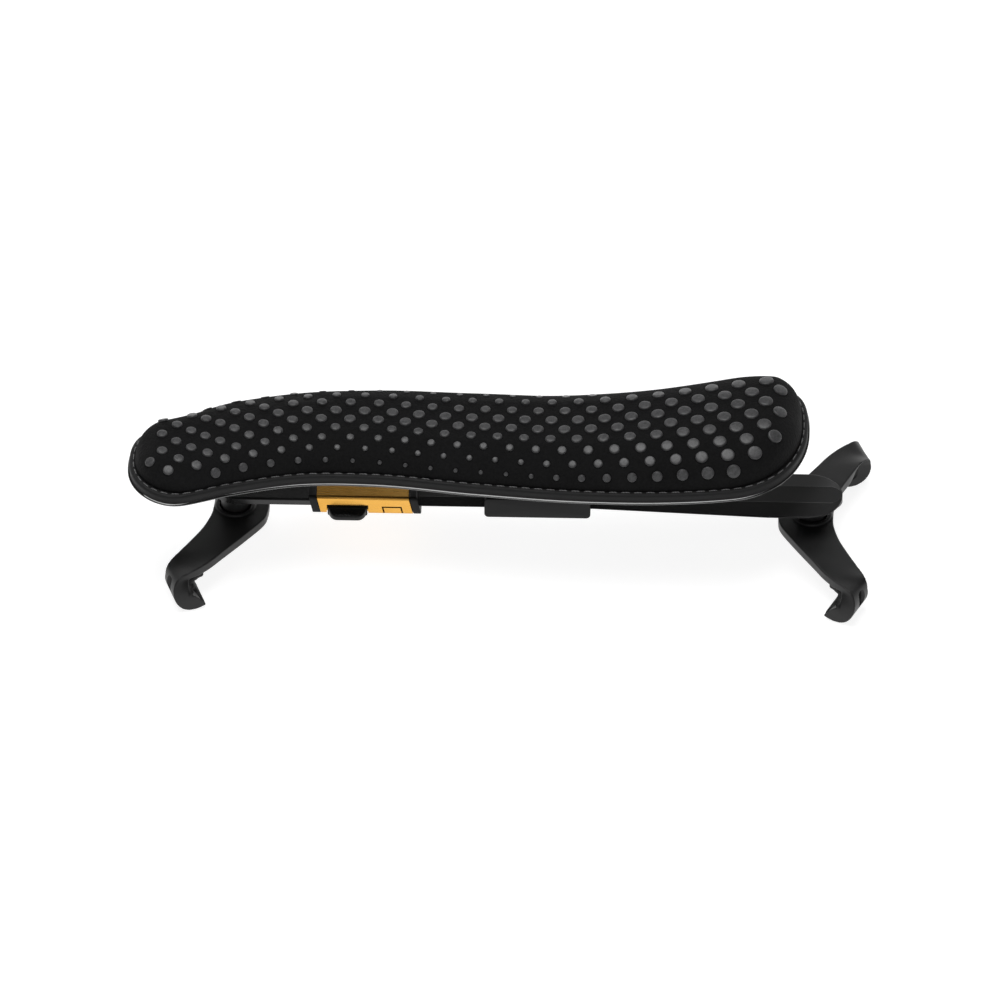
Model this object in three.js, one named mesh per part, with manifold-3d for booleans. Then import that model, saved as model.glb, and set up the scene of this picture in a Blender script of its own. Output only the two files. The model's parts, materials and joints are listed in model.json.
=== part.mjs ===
// Violin shoulder rest: a padded, curved shell on a two-part sliding bar, carried by two
// swivelling forks whose four rubber-lined claws grip the edges of a violin's back.
// Millimetres, +Z up, +X along the bar, -Y towards the player's side of the lock button.
import * as THREE from "three";
import { mergeVertices } from "three/addons/utils/BufferGeometryUtils.js";
import Module from "manifold-3d";

// ---------------------------------------------------------------- driving dimensions
const PIVOT_X = 92.4; // each fork's axis, either side of the middle
const BAR_TOP = 20; // height of the bar's top face over the claws' undersides
const FIT = 0.15; // working gap between pieces that slide or sit on each other

const ARM = { top: BAR_TOP, under: 17.4, edge: 0.7, drop: 0.5, half: 8.1, ridge: 4.2 };
const PADDLE = { from: 22, full: 78, half: 11.3, tip: 102.2 };

const RAIL = { top: 19.8, under: 17.4, half: 6.6, edge: 0.2, tongueRear: 2, shoulder: -80, inner: -50 };
const RAIL_TRAVEL = { out: 8, in: 10 };
const NOTCH = { pitch: 2, depth: 0.5, count: 12 };
const STOP_PIN = { x: RAIL.inner - 2.5, y: -2.2, radius: 1 };
const PIN_ROOM = 1.4; // from the stop pin's axis to the end of its slot, at either limit

const SLEEVE = { from: -66.1, to: -36.7, half: 8.4, low: 15.5, high: 22.2, wall: 0.7, corner: 1.3 };
const END_SLANT = Math.tan(THREE.MathUtils.degToRad(12.5)); // the sleeve's ends lean this much
const CAP_THICK = 2.6;
const FLANGE_THICK = 3.3;

const LOCK_X = -56.2; // middle of the lock button
const BUTTON = {
  baseHalf: 6.4, noseHalf: 3.4, base: -8.25, nose: -12, low: 15.6, high: 18.95, edge: 0.3, travel: 1.4,
};
const TAB = { x: -42.1, half: 3.2, slot: 0.5, high: 18.8 };
const BRIDGE = { half: 4, under: 16.35, thick: 0.8, padHalf: 3, padFrom: 2.2, padTo: 4.1 };
const SPRING = { radius: 1.25, wire: 0.2, turns: 4 };

const POST = { radius: 4.7, low: 10.9, spigot: 3, spigotTop: 19 };
const SCREW = { shank: 2, head: 4, headLow: 5.7, headHigh: 7.2, top: 18.4, socket: 1.5 };
const WASHER = { radius: 4.9, low: 10.05, high: 10.75 };

const FORK = { top: 12, under: 9.3, collar: 7.4, collarTop: 12.5, cup: 5.3, cupFloor: 9.9, low: 5.5 };
const CLAW = { x: 9.15, y: -28.2, angle: THREE.MathUtils.degToRad(24), width: 11.6, lipLow: 8, lipHigh: 13 };
const CLAW_SLOT = { from: 3.9, to: 7.7, low: 3.6, high: 8.2 };
const LEFT_FORK_TURN = THREE.MathUtils.degToRad(-5.5); // how far the left fork is set round

const PAD = {
  left: -126.3, right: 91.4, // the shell's two ends
  leftEnd: 19.5, rightEnd: 23.7, // length of each rounded end
  round: 2.3, // exponent of the rounded ends' outline
  tilt: THREE.MathUtils.degToRad(2), // the pad leans down towards -Y
  shell: 1.6, seam: 4.6, binding: 1.2, // the sewn edge stands up to the seam
  crown: { from: -40, to: 50, low: 7.5, high: 9.4, square: 3.1 }, // the crown over the seam
};
// The pad's centre line: x, y, height of the shell's underside, half-width.
const PAD_LINE = [
  [-126.3, -13.4, 36.5, 18.9],
  [-112.0, -12.9, 35.8, 18.7],
  [-92.0, -4.7, 34.9, 19.0],
  [-72.0, 1.2, 34.2, 19.0],
  [-48.0, 3.2, 33.7, 19.7],
  [-16.0, 1.0, 33.4, 21.0],
  [20.0, -0.6, 33.5, 22.6],
  [46.0, 0.7, 33.9, 24.2],
  [66.0, 3.2, 34.8, 25.6],
  [82.0, 6.2, 35.9, 26.2],
  [91.4, 9.4, 36.8, 27.7],
];
const SADDLE = { from: -12.4, to: 21.6, half: 9, low: 15.6, side: 16.8, corner: 1.3, lip: 20.7 };
const RISER = { from: -6, to: 14.4, half: 6.2, flangeTop: 22.2 };
const SADDLE_SCREWS_X = [-2, 10.4];
const SHELL_SCREWS_X = [-0.4, 8.8];

// ---------------------------------------------------------------- materials
const finish = (color, roughness, metalness = 0) =>
  new THREE.MeshStandardMaterial({ color, roughness, metalness });
const BLACK_PLASTIC = finish(0x1c1c1e, 0.55);
const GLOSS_SHELL = finish(0x0d0d0e, 0.25);
const RUBBER = finish(0x121212, 0.8);
const FABRIC = finish(0x0b0b0b, 0.95);
const FOAM = finish(0x2c2c2e, 0.95);
const GOLD = finish(0xd9a441, 0.3, 1);
const STEEL = finish(0x9a9a9c, 0.35, 1);

// ---------------------------------------------------------------- geometry helpers
const wasm = await Module();
wasm.setup();

const bare = (geometry) => {
  const g = geometry.index ? geometry.toNonIndexed() : geometry.clone();
  const only = new THREE.BufferGeometry().setAttribute("position", g.getAttribute("position"));
  return mergeVertices(only, 1e-3);
};

// Six times the signed volume of a closed geometry: negative when its faces point inwards.
const signedVolume = (geometry) => {
  const p = geometry.getAttribute("position");
  const [a, b, c] = [new THREE.Vector3(), new THREE.Vector3(), new THREE.Vector3()];
  let sum = 0;
  for (let i = 0; i < geometry.index.count; i += 3) {
    a.fromBufferAttribute(p, geometry.index.getX(i));
    b.fromBufferAttribute(p, geometry.index.getX(i + 1));
    c.fromBufferAttribute(p, geometry.index.getX(i + 2));
    sum += a.dot(b.cross(c));
  }
  return sum;
};

const outward = (geometry) => {
  const g = bare(geometry);
  if (signedVolume(g) < 0) {
    const index = g.index.array;
    for (let i = 0; i < index.length; i += 3) [index[i + 1], index[i + 2]] = [index[i + 2], index[i + 1]];
  }
  return g;
};

const solid = (geometry) => {
  const g = outward(geometry);
  return new wasm.Manifold(
    new wasm.Mesh({
      numProp: 3,
      vertProperties: g.getAttribute("position").array,
      triVerts: new Uint32Array(g.index.array),
    }),
  );
};

const geometryOf = (manifold) => {
  const mesh = manifold.getMesh();
  return new THREE.BufferGeometry()
    .setAttribute("position", new THREE.BufferAttribute(new Float32Array(mesh.vertProperties), 3))
    .setIndex(new THREE.BufferAttribute(new Uint32Array(mesh.triVerts), 1));
};

const join = (first, ...rest) => geometryOf(rest.reduce((all, g) => all.add(solid(g)), solid(first)));
const cut = (body, ...tools) => geometryOf(tools.reduce((left, g) => left.subtract(solid(g)), solid(body)));

const box = (x0, x1, y0, y1, z0, z1) =>
  new THREE.BoxGeometry(x1 - x0, y1 - y0, z1 - z0).translate((x0 + x1) / 2, (y0 + y1) / 2, (z0 + z1) / 2);

const shapeOf = (points) => new THREE.Shape(points.map(([x, y]) => new THREE.Vector2(x, y)));

const extrude = (shape, length, extra = {}) =>
  new THREE.ExtrudeGeometry(shape, { depth: length, bevelEnabled: false, curveSegments: 6, ...extra });

const upright = (shape, z0, z1) => extrude(shape, z1 - z0).translate(0, 0, z0);

// A (y, z) profile carried along X.
const AS_YZ = new THREE.Matrix4().makeBasis(
  new THREE.Vector3(0, 1, 0), new THREE.Vector3(0, 0, 1), new THREE.Vector3(1, 0, 0));
const along = (shape, x0, x1) => extrude(shape, x1 - x0).applyMatrix4(AS_YZ).translate(x0, 0, 0);

const roundedRect = (x0, x1, y0, y1, r) => {
  const s = new THREE.Shape();
  s.moveTo(x0 + r, y0).lineTo(x1 - r, y0).absarc(x1 - r, y0 + r, r, -Math.PI / 2, 0, false);
  s.lineTo(x1, y1 - r).absarc(x1 - r, y1 - r, r, 0, Math.PI / 2, false);
  s.lineTo(x0 + r, y1).absarc(x0 + r, y1 - r, r, Math.PI / 2, Math.PI, false);
  s.lineTo(x0, y0 + r).absarc(x0 + r, y0 + r, r, Math.PI, 1.5 * Math.PI, false);
  return s;
};

// A [radius, height] profile turned about Z.
const turned = (profile, sides = 28) =>
  new THREE.LatheGeometry(profile.map(([r, z]) => new THREE.Vector2(r, z)), sides).rotateX(Math.PI / 2);
const disc = (radius, z0, z1, sides = 28) => turned([[0, z0], [radius, z0], [radius, z1], [0, z1]], sides);

const mirroredY = (geometry) => outward(geometry.clone().applyMatrix4(new THREE.Matrix4().makeScale(1, -1, 1)));

const lean = (geometry) => {
  const shear = new THREE.Matrix4().set(1, 0, -END_SLANT, END_SLANT * SLEEVE.high,
    0, 1, 0, 0, 0, 0, 1, 0, 0, 0, 0, 1);
  return geometry.applyMatrix4(shear);
};

// A closed body through rings of points, one ring after another, with fans over both ends.
const loft = (rings) => {
  const count = rings[0].length;
  const points = rings.flat();
  const index = [];
  for (let i = 0; i + 1 < rings.length; i++)
    for (let j = 0; j < count; j++) {
      const [a, b] = [i * count + j, i * count + ((j + 1) % count)];
      index.push(a, b, b + count, a, b + count, a + count);
    }
  [0, rings.length - 1].forEach((ring, end) => {
    const centre = rings[ring].reduce((sum, p) => sum.add(p), new THREE.Vector3()).divideScalar(count);
    points.push(centre);
    for (let j = 0; j < count; j++) {
      const [a, b] = [ring * count + j, ring * count + ((j + 1) % count)];
      index.push(points.length - 1, ...(end ? [a, b] : [b, a]));
    }
  });
  const g = new THREE.BufferGeometry().setFromPoints(points).setIndex(index);
  return outward(g);
};

// Stations from x0 to x1, close together towards a rounded end.
const stations = (x0, x1, leftEnd, rightEnd, middle, perEnd) => {
  const list = [];
  for (let i = 0; i < perEnd; i++) list.push(x0 + leftEnd * (1 - Math.cos((i / perEnd) * Math.PI / 2)));
  for (let i = 0; i <= middle; i++) list.push(x0 + leftEnd + (x1 - rightEnd - x0 - leftEnd) * (i / middle));
  for (let i = 1; i <= perEnd; i++) list.push(x1 - rightEnd * (1 - Math.sin((i / perEnd) * Math.PI / 2)));
  return list;
};

// ---------------------------------------------------------------- bar: arm, rail and slider
const armHalf = (x) => {
  const t = THREE.MathUtils.clamp((x - PADDLE.from) / (PADDLE.full - PADDLE.from), 0, 1);
  const half = ARM.half + (PADDLE.half - ARM.half) * t;
  const past = Math.max(0, x - (PADDLE.tip - PADDLE.half)) / PADDLE.half;
  return half * Math.sqrt(Math.max(0.0004, 1 - past * past));
};

const armSection = (x) => {
  const half = armHalf(x);
  const ridge = ARM.ridge * Math.min(1, half / ARM.half);
  const flank = ARM.top - ARM.drop * Math.min(1, half / ARM.half);
  const belly = Math.max(half - 2.4, half * 0.6);
  const side = [[ridge, ARM.top], [half, flank], [half, flank - ARM.edge], [belly, ARM.under]];
  return [...side, ...side.toReversed().map(([y, z]) => [-y, z])].map(([y, z]) => new THREE.Vector3(x, y, z));
};

function rightArm() {
  const xs = [SLEEVE.to + 1, -20, 0, PADDLE.from, 36, 50, 64, PADDLE.full, PADDLE.tip - PADDLE.half];
  for (let i = 1; i <= 9; i++) xs.push(PADDLE.tip - PADDLE.half * (1 - Math.sin((i / 9) * Math.PI / 2)));
  const plate = loft(xs.map(armSection));
  const flangeShape = roundedRect(-SLEEVE.half, SLEEVE.half, SLEEVE.low, SLEEVE.high, SLEEVE.corner);
  const flange = lean(along(flangeShape, SLEEVE.to + FIT, SLEEVE.to + FLANGE_THICK));
  const inset = SLEEVE.wall + 2 * FIT;
  const guideHalf = SLEEVE.half - inset;
  const guideFrom = SLEEVE.from + END_SLANT * (SLEEVE.high - SLEEVE.low) + FIT;
  const guide = box(guideFrom, SLEEVE.to + 2, -guideHalf, guideHalf, SLEEVE.low + inset, SLEEVE.high - inset);
  const body = join(plate, flange, guide);
  return cut(
    body,
    // the channel that the rail's tongue slides in
    box(guideFrom - 1, RAIL.inner + RAIL_TRAVEL.in + 1, -RAIL.half - FIT, RAIL.tongueRear + FIT,
      RAIL.under - FIT, RAIL.top + FIT),
    // the front window of the button, and the chamber of the lock bridge and its spring
    box(LOCK_X - BUTTON.baseHalf - 0.5, LOCK_X + BUTTON.baseHalf + 0.5, -guideHalf - 1, -RAIL.half + 0.5,
      SLEEVE.low, RAIL.top + FIT),
    box(LOCK_X - BRIDGE.half - 0.3, LOCK_X + BRIDGE.half + 0.3, -guideHalf - 1, guideHalf + 1,
      SLEEVE.low, RAIL.under + 0.1),
    box(LOCK_X - BRIDGE.half - 0.3, LOCK_X + BRIDGE.half + 0.3, 1, guideHalf + 1, SLEEVE.low, RAIL.top + FIT),
    // the slot over the rail's stop pin
    box(STOP_PIN.x - RAIL_TRAVEL.out - PIN_ROOM, STOP_PIN.x + RAIL_TRAVEL.in + PIN_ROOM,
      STOP_PIN.y - 1.3, STOP_PIN.y + 1.3, RAIL.top, SLEEVE.high),
    // the blind seat of the right post, and the two saddle screws' holes
    disc(POST.spigot + 0.1, ARM.under - 1, POST.spigotTop + 0.2).translate(PIVOT_X, 0, 0),
    ...SADDLE_SCREWS_X.map((x) => disc(1.7, ARM.under - 1, ARM.top + 1, 16).translate(x, 0, 0)),
  );
}

function leftRail() {
  const s = new THREE.Shape();
  s.moveTo(RAIL.shoulder, RAIL.half);
  s.lineTo(-PIVOT_X, RAIL.half).absarc(-PIVOT_X, 0, RAIL.half, Math.PI / 2, 1.5 * Math.PI, false);
  s.lineTo(RAIL.inner, -RAIL.half).lineTo(RAIL.inner, RAIL.tongueRear);
  for (let i = 0; i < NOTCH.count; i++) {
    const x = RAIL.inner - 1.4 - i * NOTCH.pitch;
    s.lineTo(x, RAIL.tongueRear).lineTo(x - NOTCH.pitch / 4, RAIL.tongueRear - NOTCH.depth);
    s.lineTo(x - NOTCH.pitch / 2, RAIL.tongueRear);
  }
  s.lineTo(RAIL.shoulder, RAIL.tongueRear);
  const { edge } = RAIL;
  const bar = extrude(s, RAIL.top - RAIL.under - 2 * edge, {
    bevelEnabled: true, bevelThickness: edge, bevelSize: edge, bevelOffset: -edge,
    bevelSegments: 1, curveSegments: 14,
  }).translate(0, 0, RAIL.under + edge);
  return cut(
    bar,
    disc(POST.spigot + 0.1, RAIL.under - 1, POST.spigotTop + 0.2).translate(-PIVOT_X, 0, 0),
    disc(STOP_PIN.radius + 0.05, RAIL.under + 0.6, RAIL.top + 1, 16).translate(STOP_PIN.x, STOP_PIN.y, 0),
  );
}

const railStopPin = () =>
  disc(STOP_PIN.radius, RAIL.under + 0.7, SLEEVE.high - SLEEVE.wall - 2 * FIT, 16)
    .translate(STOP_PIN.x, STOP_PIN.y, 0);

function goldSleeve() {
  const { from, to, half, low, high, wall, corner } = SLEEVE;
  const outer = lean(along(roundedRect(-half, half, low, high, corner), from, to));
  const bore = roundedRect(wall - half, half - wall, low + wall, high - wall, corner - wall);
  const inner = along(bore, from - 5, to + 5);
  const slotX = (x0, x1, z0, z1) => lean(box(x0, x1, -half - 1, wall - half + 0.3, z0, z1));
  const lift = END_SLANT * (high - TAB.high);
  const tabX = TAB.x - lift;
  return cut(
    outer, inner,
    box(LOCK_X - BUTTON.baseHalf - 0.25, LOCK_X + BUTTON.baseHalf + 0.25, -half - 1,
      BUTTON.base + BUTTON.travel + 0.3, BUTTON.low - 0.2, BUTTON.high + 0.25),
    // three slots free a springy tab that snaps over the guide
    slotX(tabX - TAB.half, tabX - TAB.half + TAB.slot, low + wall, TAB.high),
    slotX(tabX + TAB.half - TAB.slot, tabX + TAB.half, low + wall, TAB.high),
    slotX(tabX - TAB.half, tabX + TAB.half, TAB.high - TAB.slot, TAB.high),
  );
}

function sleeveEndCap() {
  const { half, low, high, corner, from } = SLEEVE;
  const plate = lean(along(roundedRect(-half, half, low, high, corner), from - CAP_THICK, from - FIT));
  const mouth = box(from - CAP_THICK - 2, from + 4, -RAIL.half - 0.25, RAIL.tongueRear + 0.25,
    RAIL.under - 0.2, RAIL.top + 0.2);
  // the outer lower edge is bevelled off
  const bevel = box(-2, 2, -half - 1, half + 1, -3, 3).rotateY(-0.5)
    .translate(from - CAP_THICK - 0.9, 0, low + 0.4);
  return cut(plate, mouth, bevel);
}

function lockButton() {
  const { baseHalf, noseHalf, base, nose, low, high, edge } = BUTTON;
  const s = new THREE.Shape();
  s.moveTo(-baseHalf, base).lineTo(-baseHalf, base - 0.5);
  s.quadraticCurveTo(-baseHalf + 0.6, nose + 0.3, -noseHalf, nose);
  s.lineTo(noseHalf, nose).quadraticCurveTo(baseHalf - 0.6, nose + 0.3, baseHalf, base - 0.5);
  s.lineTo(baseHalf, base);
  const body = extrude(s, high - low - 2 * edge, {
    bevelEnabled: true, bevelThickness: edge, bevelSize: edge, bevelOffset: -edge, bevelSegments: 2,
  }).translate(LOCK_X, 0, low + edge);
  const pocket = box(LOCK_X - 2.15, LOCK_X + 2.15, base - 1.65, base + 1,
    BRIDGE.under - FIT, BRIDGE.under + BRIDGE.thick + FIT);
  return cut(body, pocket);
}

function lockBridge() {
  const { half, under, thick, padHalf, padFrom, padTo } = BRIDGE;
  const plate = box(LOCK_X - half, LOCK_X + half, BUTTON.base + 0.2, padTo, under, under + thick);
  const tongue = box(LOCK_X - 2, LOCK_X + 2, BUTTON.base - 1.5, BUTTON.base + 1, under, under + thick);
  const pad = box(LOCK_X - padHalf, LOCK_X + padHalf, padFrom, padTo, under, RAIL.top - 0.1);
  return join(plate, tongue, pad);
}

class Helix extends THREE.Curve {
  constructor(radius, length, turns) {
    super();
    Object.assign(this, { radius, length, turns });
  }
  getPoint(t, target = new THREE.Vector3()) {
    const angle = 2 * Math.PI * this.turns * t;
    return target.set(this.radius * Math.cos(angle), this.length * t, this.radius * Math.sin(angle));
  }
}

function lockSpring() {
  const from = BRIDGE.padTo + 0.35;
  const to = SLEEVE.half - SLEEVE.wall - 0.35;
  const path = new Helix(SPRING.radius, to - from, SPRING.turns);
  const wire = new THREE.Shape().absarc(0, 0, SPRING.wire, 0, 2 * Math.PI, false);
  return new THREE.ExtrudeGeometry(wire, { extrudePath: path, steps: SPRING.turns * 14, curveSegments: 3 })
    .translate(LOCK_X, from, (BRIDGE.under + RAIL.top) / 2);
}

// ---------------------------------------------------------------- forks and their posts
const post = () => cut(
  turned([[0, POST.low], [POST.radius - 0.3, POST.low], [POST.radius, POST.low + 0.3], [POST.radius, RAIL.under - FIT],
    [POST.spigot, RAIL.under - FIT], [POST.spigot, POST.spigotTop], [0, POST.spigotTop]]),
  disc(SCREW.shank + 0.06, POST.low - 1, SCREW.top + 0.2),
);

function heightScrew() {
  const { shank, head, headLow, headHigh, top, socket } = SCREW;
  const body = turned([[0, headLow], [head - 0.4, headLow], [head, headLow + 0.4], [head, headHigh],
    [shank, headHigh], [shank, top - 0.5], [shank - 0.5, top], [0, top]]);
  return cut(body, disc(socket, headLow - 1, headLow + 1, 6));
}

const frictionWasher = () => turned([[SCREW.shank + 0.1, WASHER.low], [WASHER.radius, WASHER.low],
  [WASHER.radius, WASHER.high], [SCREW.shank + 0.1, WASHER.high], [SCREW.shank + 0.1, WASHER.low]]);

// Claw profiles in (outward, up) from the tip of the lower jaw.
const CLAW_PROFILE = [
  [0.1, 0.9], [2.4, 0], [6.6, 0], [8.8, 1.1], [10.2, 3.4], [10.5, 6], [9.9, 8.4], [8.2, 10.6], [5.6, 11.8],
  [2.6, 12], [-1.2, 12], [-1.2, 9.5], [4.4, 9.5], [5.6, 8.5], [5.6, 3.4], [4.6, 2.5], [0.1, 2.1],
];
const GRIP_PROFILE = [
  [0.4, 2.25], [4.5, 2.65], [5.45, 3.5], [5.45, 8.2], [4.4, 9.15], [-0.9, 9.15],
  [-0.9, 8.2], [3.9, 8.2], [4.4, 7.7], [4.4, 4.1], [4, 3.65], [0.4, 3.3],
];
const IN_CLAW = new THREE.Matrix4()
  .makeBasis(
    new THREE.Vector3(Math.cos(CLAW.angle), -Math.sin(CLAW.angle), 0),
    new THREE.Vector3(0, 0, 1),
    new THREE.Vector3(-Math.sin(CLAW.angle), -Math.cos(CLAW.angle), 0),
  )
  .setPosition(CLAW.x, CLAW.y, 0);
const clawBlock = (profile, from, to) =>
  extrude(shapeOf(profile), to - from).translate(0, 0, from).applyMatrix4(IN_CLAW);
const clawPoint = (out, across) => {
  const p = new THREE.Vector3(out, 0, across).applyMatrix4(IN_CLAW);
  return [p.x, p.y];
};

// Plan of a leg's inner edge, from the fork's apex to the rounded end over the claw.
const LEG_INNER = [[-10.8, 0], [-10.2, -5], [-5.6, -14], [-1.2, -21.2], [1.1, -24.9]];
const LEG_TIP = [[4.1, -29.8], [7.6, -34.2], [10.7, -37.8]];
const LEG_OUTER = [[14, -26], [12, -20.5], [8.9, -13], [6.9, -6], [6.4, 0]];

// Everything past the rounded end, which the leg and the claw's upper jaw stop short of.
const PAST_TIP = [LEG_INNER.at(-1), ...LEG_TIP, [13.1, -40], [16.5, -41], [19, -46], [-12, -46], [-12, -24.9]];
const pastTip = (z0, z1) => upright(shapeOf(PAST_TIP), z0, z1);

function fork() {
  const inner = [...LEG_INNER, ...LEG_TIP];
  const outer = [clawPoint(5.6, 6), clawPoint(5.6, 0), ...LEG_OUTER];
  const half = [...inner, ...outer];
  const whole = [...half, ...half.slice(1, -1).toReversed().map(([x, y]) => [x, -y])];
  const plate = upright(shapeOf(whole), FORK.under, FORK.top);
  const claw = cut(clawBlock(CLAW_PROFILE, 0, CLAW.width), pastTip(CLAW.lipLow, CLAW.lipHigh));
  const boss = disc(FORK.collar, FORK.low, FORK.collarTop);
  const { from, to, low, high } = CLAW_SLOT;
  const slot = clawBlock([[5, low], [12, low], [12, high], [5, high]], from, to);
  return cut(
    join(plate, boss, claw, mirroredY(claw)),
    slot, mirroredY(slot),
    disc(FORK.cup, FORK.cupFloor, FORK.collarTop + 1),
    disc(SCREW.shank + 0.08, FORK.low - 1, FORK.collarTop + 1),
    disc(SCREW.head + 0.2, FORK.low - 1, SCREW.headHigh + 0.1),
  );
}

function frontGrip() {
  const { from, to, low, high } = CLAW_SLOT;
  const lining = clawBlock(GRIP_PROFILE, 0.3, CLAW.width - 0.3);
  const block = [[5, low + 0.1], [8.6, low + 0.1], [8.6, high - 0.1], [5, high - 0.1]];
  const plug = clawBlock(block, from + 0.1, to - 0.1);
  return cut(join(lining, plug), pastTip(CLAW.lipLow - 0.1, CLAW.lipHigh));
}

// ---------------------------------------------------------------- pad
const padLine = new THREE.CatmullRomCurve3(PAD_LINE.map(([x, y, z]) => new THREE.Vector3(x, y, z)));
const padWidths = new THREE.CatmullRomCurve3(PAD_LINE.map(([x, , , half]) => new THREE.Vector3(x, half, 0)));

// The point of a curve at a given x, found by halving.
const atX = (curve, x) => {
  let [low, high] = [0, 1];
  for (let i = 0; i < 40; i++) {
    const mid = (low + high) / 2;
    if (curve.getPoint(mid).x < x) low = mid;
    else high = mid;
  }
  return curve.getPoint(low);
};

const padHalf = (x, inset) => {
  const full = atX(padWidths, x).y - inset;
  const short = (past) =>
    Math.pow(Math.max(1e-4, 1 - Math.pow(THREE.MathUtils.clamp(past, 0, 1), PAD.round)), 1 / PAD.round);
  const left = short(1 - (x - PAD.left - inset) / PAD.leftEnd);
  const right = short(1 - (PAD.right - inset - x) / PAD.rightEnd);
  return full * left * right;
};

// Turns (across, up) in the pad's own section at x into a point.
const padPoint = (x, across, up) => {
  const { y, z } = atX(padLine, x);
  const [c, s] = [Math.cos(PAD.tilt), Math.sin(PAD.tilt)];
  return new THREE.Vector3(x, y + across * c - up * s, z + across * s + up * c);
};

const padLoft = (inset, section, middle = 26, perEnd = 9) =>
  loft(stations(PAD.left + inset, PAD.right - inset, PAD.leftEnd, PAD.rightEnd, middle, perEnd)
    .map((x) => section(padHalf(x, inset), x).map(([across, up]) => padPoint(x, across, up))));

const slab = (inset, low, high) => padLoft(inset, (half) => [[-half, low], [half, low], [half, high], [-half, high]]);

// How high the crown stands over the seam at x.
const crownHeight = (x) => {
  const { from, to, low, high } = PAD.crown;
  return low + (high - low) * THREE.MathUtils.clamp((x - from) / (to - from), 0, 1);
};

const dome = (inset, low, lowered = 0) =>
  padLoft(inset, (half, x) => {
    const full = 0.8 * (atX(padWidths, x).y - inset);
    const rise = (crownHeight(x) - lowered) * Math.min(1, half / full);
    const arc = [];
    for (let i = 0; i <= 12; i++) {
      const [c, s] = [Math.cos(Math.PI * (i / 12)), Math.sin(Math.PI * (i / 12))];
      const power = 2 / PAD.crown.square;
      arc.push([half * Math.sign(c) * Math.abs(c) ** power, PAD.seam + rise * Math.max(0, s) ** power]);
    }
    return [[-half, low], [half, low], ...arc];
  });

const PAD_LAYERS = { backLow: PAD.shell + FIT, backHigh: PAD.shell + 1, coverLow: PAD.shell + 1 + FIT };
const DOME_INSET = PAD.binding + 0.3;

function baseShell() {
  const rim = padLoft(0, (half) => {
    const chamfer = Math.min(0.5, half / 3);
    return [[chamfer - half, 0], [half - chamfer, 0], [half, chamfer],
      [half, PAD.shell], [-half, PAD.shell], [-half, chamfer]];
  });
  return cut(rim, ...shellScrewPlaces().map((m) => disc(1.35, -2, 4, 16).applyMatrix4(m)));
}

// Frames of the two screws that hold the shell on the riser.
function shellScrewPlaces() {
  return SHELL_SCREWS_X.map((x) => {
    const at = padPoint(x, -atX(padLine, x).y / Math.cos(PAD.tilt), 0);
    return new THREE.Matrix4().makeRotationX(PAD.tilt).setPosition(at);
  });
}

const backing = () => cut(slab(DOME_INSET, PAD_LAYERS.backLow, PAD_LAYERS.backHigh),
  ...shellScrewPlaces().map((m) => disc(2.8, -2, 6, 16).applyMatrix4(m)));
const binding = () => cut(slab(0.05, PAD_LAYERS.backLow, PAD.seam), slab(PAD.binding, -3, 8));
const cover = () => cut(dome(DOME_INSET, PAD_LAYERS.coverLow), dome(DOME_INSET + 1, -3, 0.9));
const foam = () => dome(DOME_INSET + 1.3, PAD_LAYERS.coverLow + 0.6, 1.3);

function shellScrew(place) {
  const body = turned([[0, -6], [1.2, -6], [1.2, PAD.shell + 0.1], [2.4, PAD.shell + 0.1], [2.2, PAD.shell + 0.8],
    [0, PAD.shell + 0.8]], 16);
  return body.applyMatrix4(place);
}

// ---------------------------------------------------------------- saddle and riser
function saddleBlock() {
  const { from, to, half, low, side, corner, lip } = SADDLE;
  const section = [[-half + 1.6, low], [half - 1.6, low], [half, side], [half, lip], [ARM.half + 0.2, lip],
    [ARM.half + 0.2, ARM.under - FIT], [-ARM.half - 0.2, ARM.under - FIT], [-ARM.half - 0.2, lip],
    [-half, lip], [-half, side]];
  const channel = along(shapeOf(section), from, to);
  const outline = upright(roundedRect(from, to, -half - 1, half + 1, corner), low - 1, lip + 1);
  const rounded = geometryOf(solid(channel).intersect(solid(outline)));
  return cut(rounded, ...SADDLE_SCREWS_X.flatMap((x) => [
    disc(1.7, low - 1, lip, 16).translate(x, 0, 0),
    disc(2.7, low - 1, low + 1.1, 16).translate(x, 0, 0),
  ]));
}

function padRiser() {
  const { from, to, half, flangeTop } = RISER;
  const foot = upright(roundedRect(SADDLE.from + 0.6, SADDLE.to - 0.6, 0.6 - SADDLE.half, SADDLE.half - 0.6, 1.6),
    SADDLE.lip + FIT, flangeTop);
  const key = box(SADDLE.from + 3, SADDLE.to - 3, 0.3 - ARM.half, ARM.half - 0.3, ARM.top + FIT, flangeTop - 0.2);
  const column = upright(roundedRect(from, to, -half, half, 2), ARM.top + FIT, 45);
  // the column's top follows the shell's leaning underside
  const middle = (from + to) / 2;
  const under = padPoint(middle, -atX(padLine, middle).y, -2 * FIT);
  const top = new THREE.Matrix4().makeRotationX(PAD.tilt).setPosition(under);
  const above = box(-40, 40, -40, 40, 0, 40).applyMatrix4(top);
  return cut(
    join(foot, key, column), above,
    ...SADDLE_SCREWS_X.map((x) => disc(1.4, 10, 27, 16).translate(x, 0, 0)),
    ...shellScrewPlaces().map((m) => disc(1.35, -7, 2, 16).applyMatrix4(m)),
  );
}

const saddleScrew = (x) => turned([[0, SADDLE.low + 0.1], [2.5, SADDLE.low + 0.1], [2.5, SADDLE.low + 1],
  [1.3, SADDLE.low + 1], [1.3, 26], [0, 26]], 16).translate(x, 0, 0);

// ---------------------------------------------------------------- assembly
const rest = new THREE.Group();

const put = (parent, name, geometry, material) => {
  const mesh = new THREE.Mesh(geometry, material);
  mesh.name = name;
  parent.add(mesh);
  return mesh;
};

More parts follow.
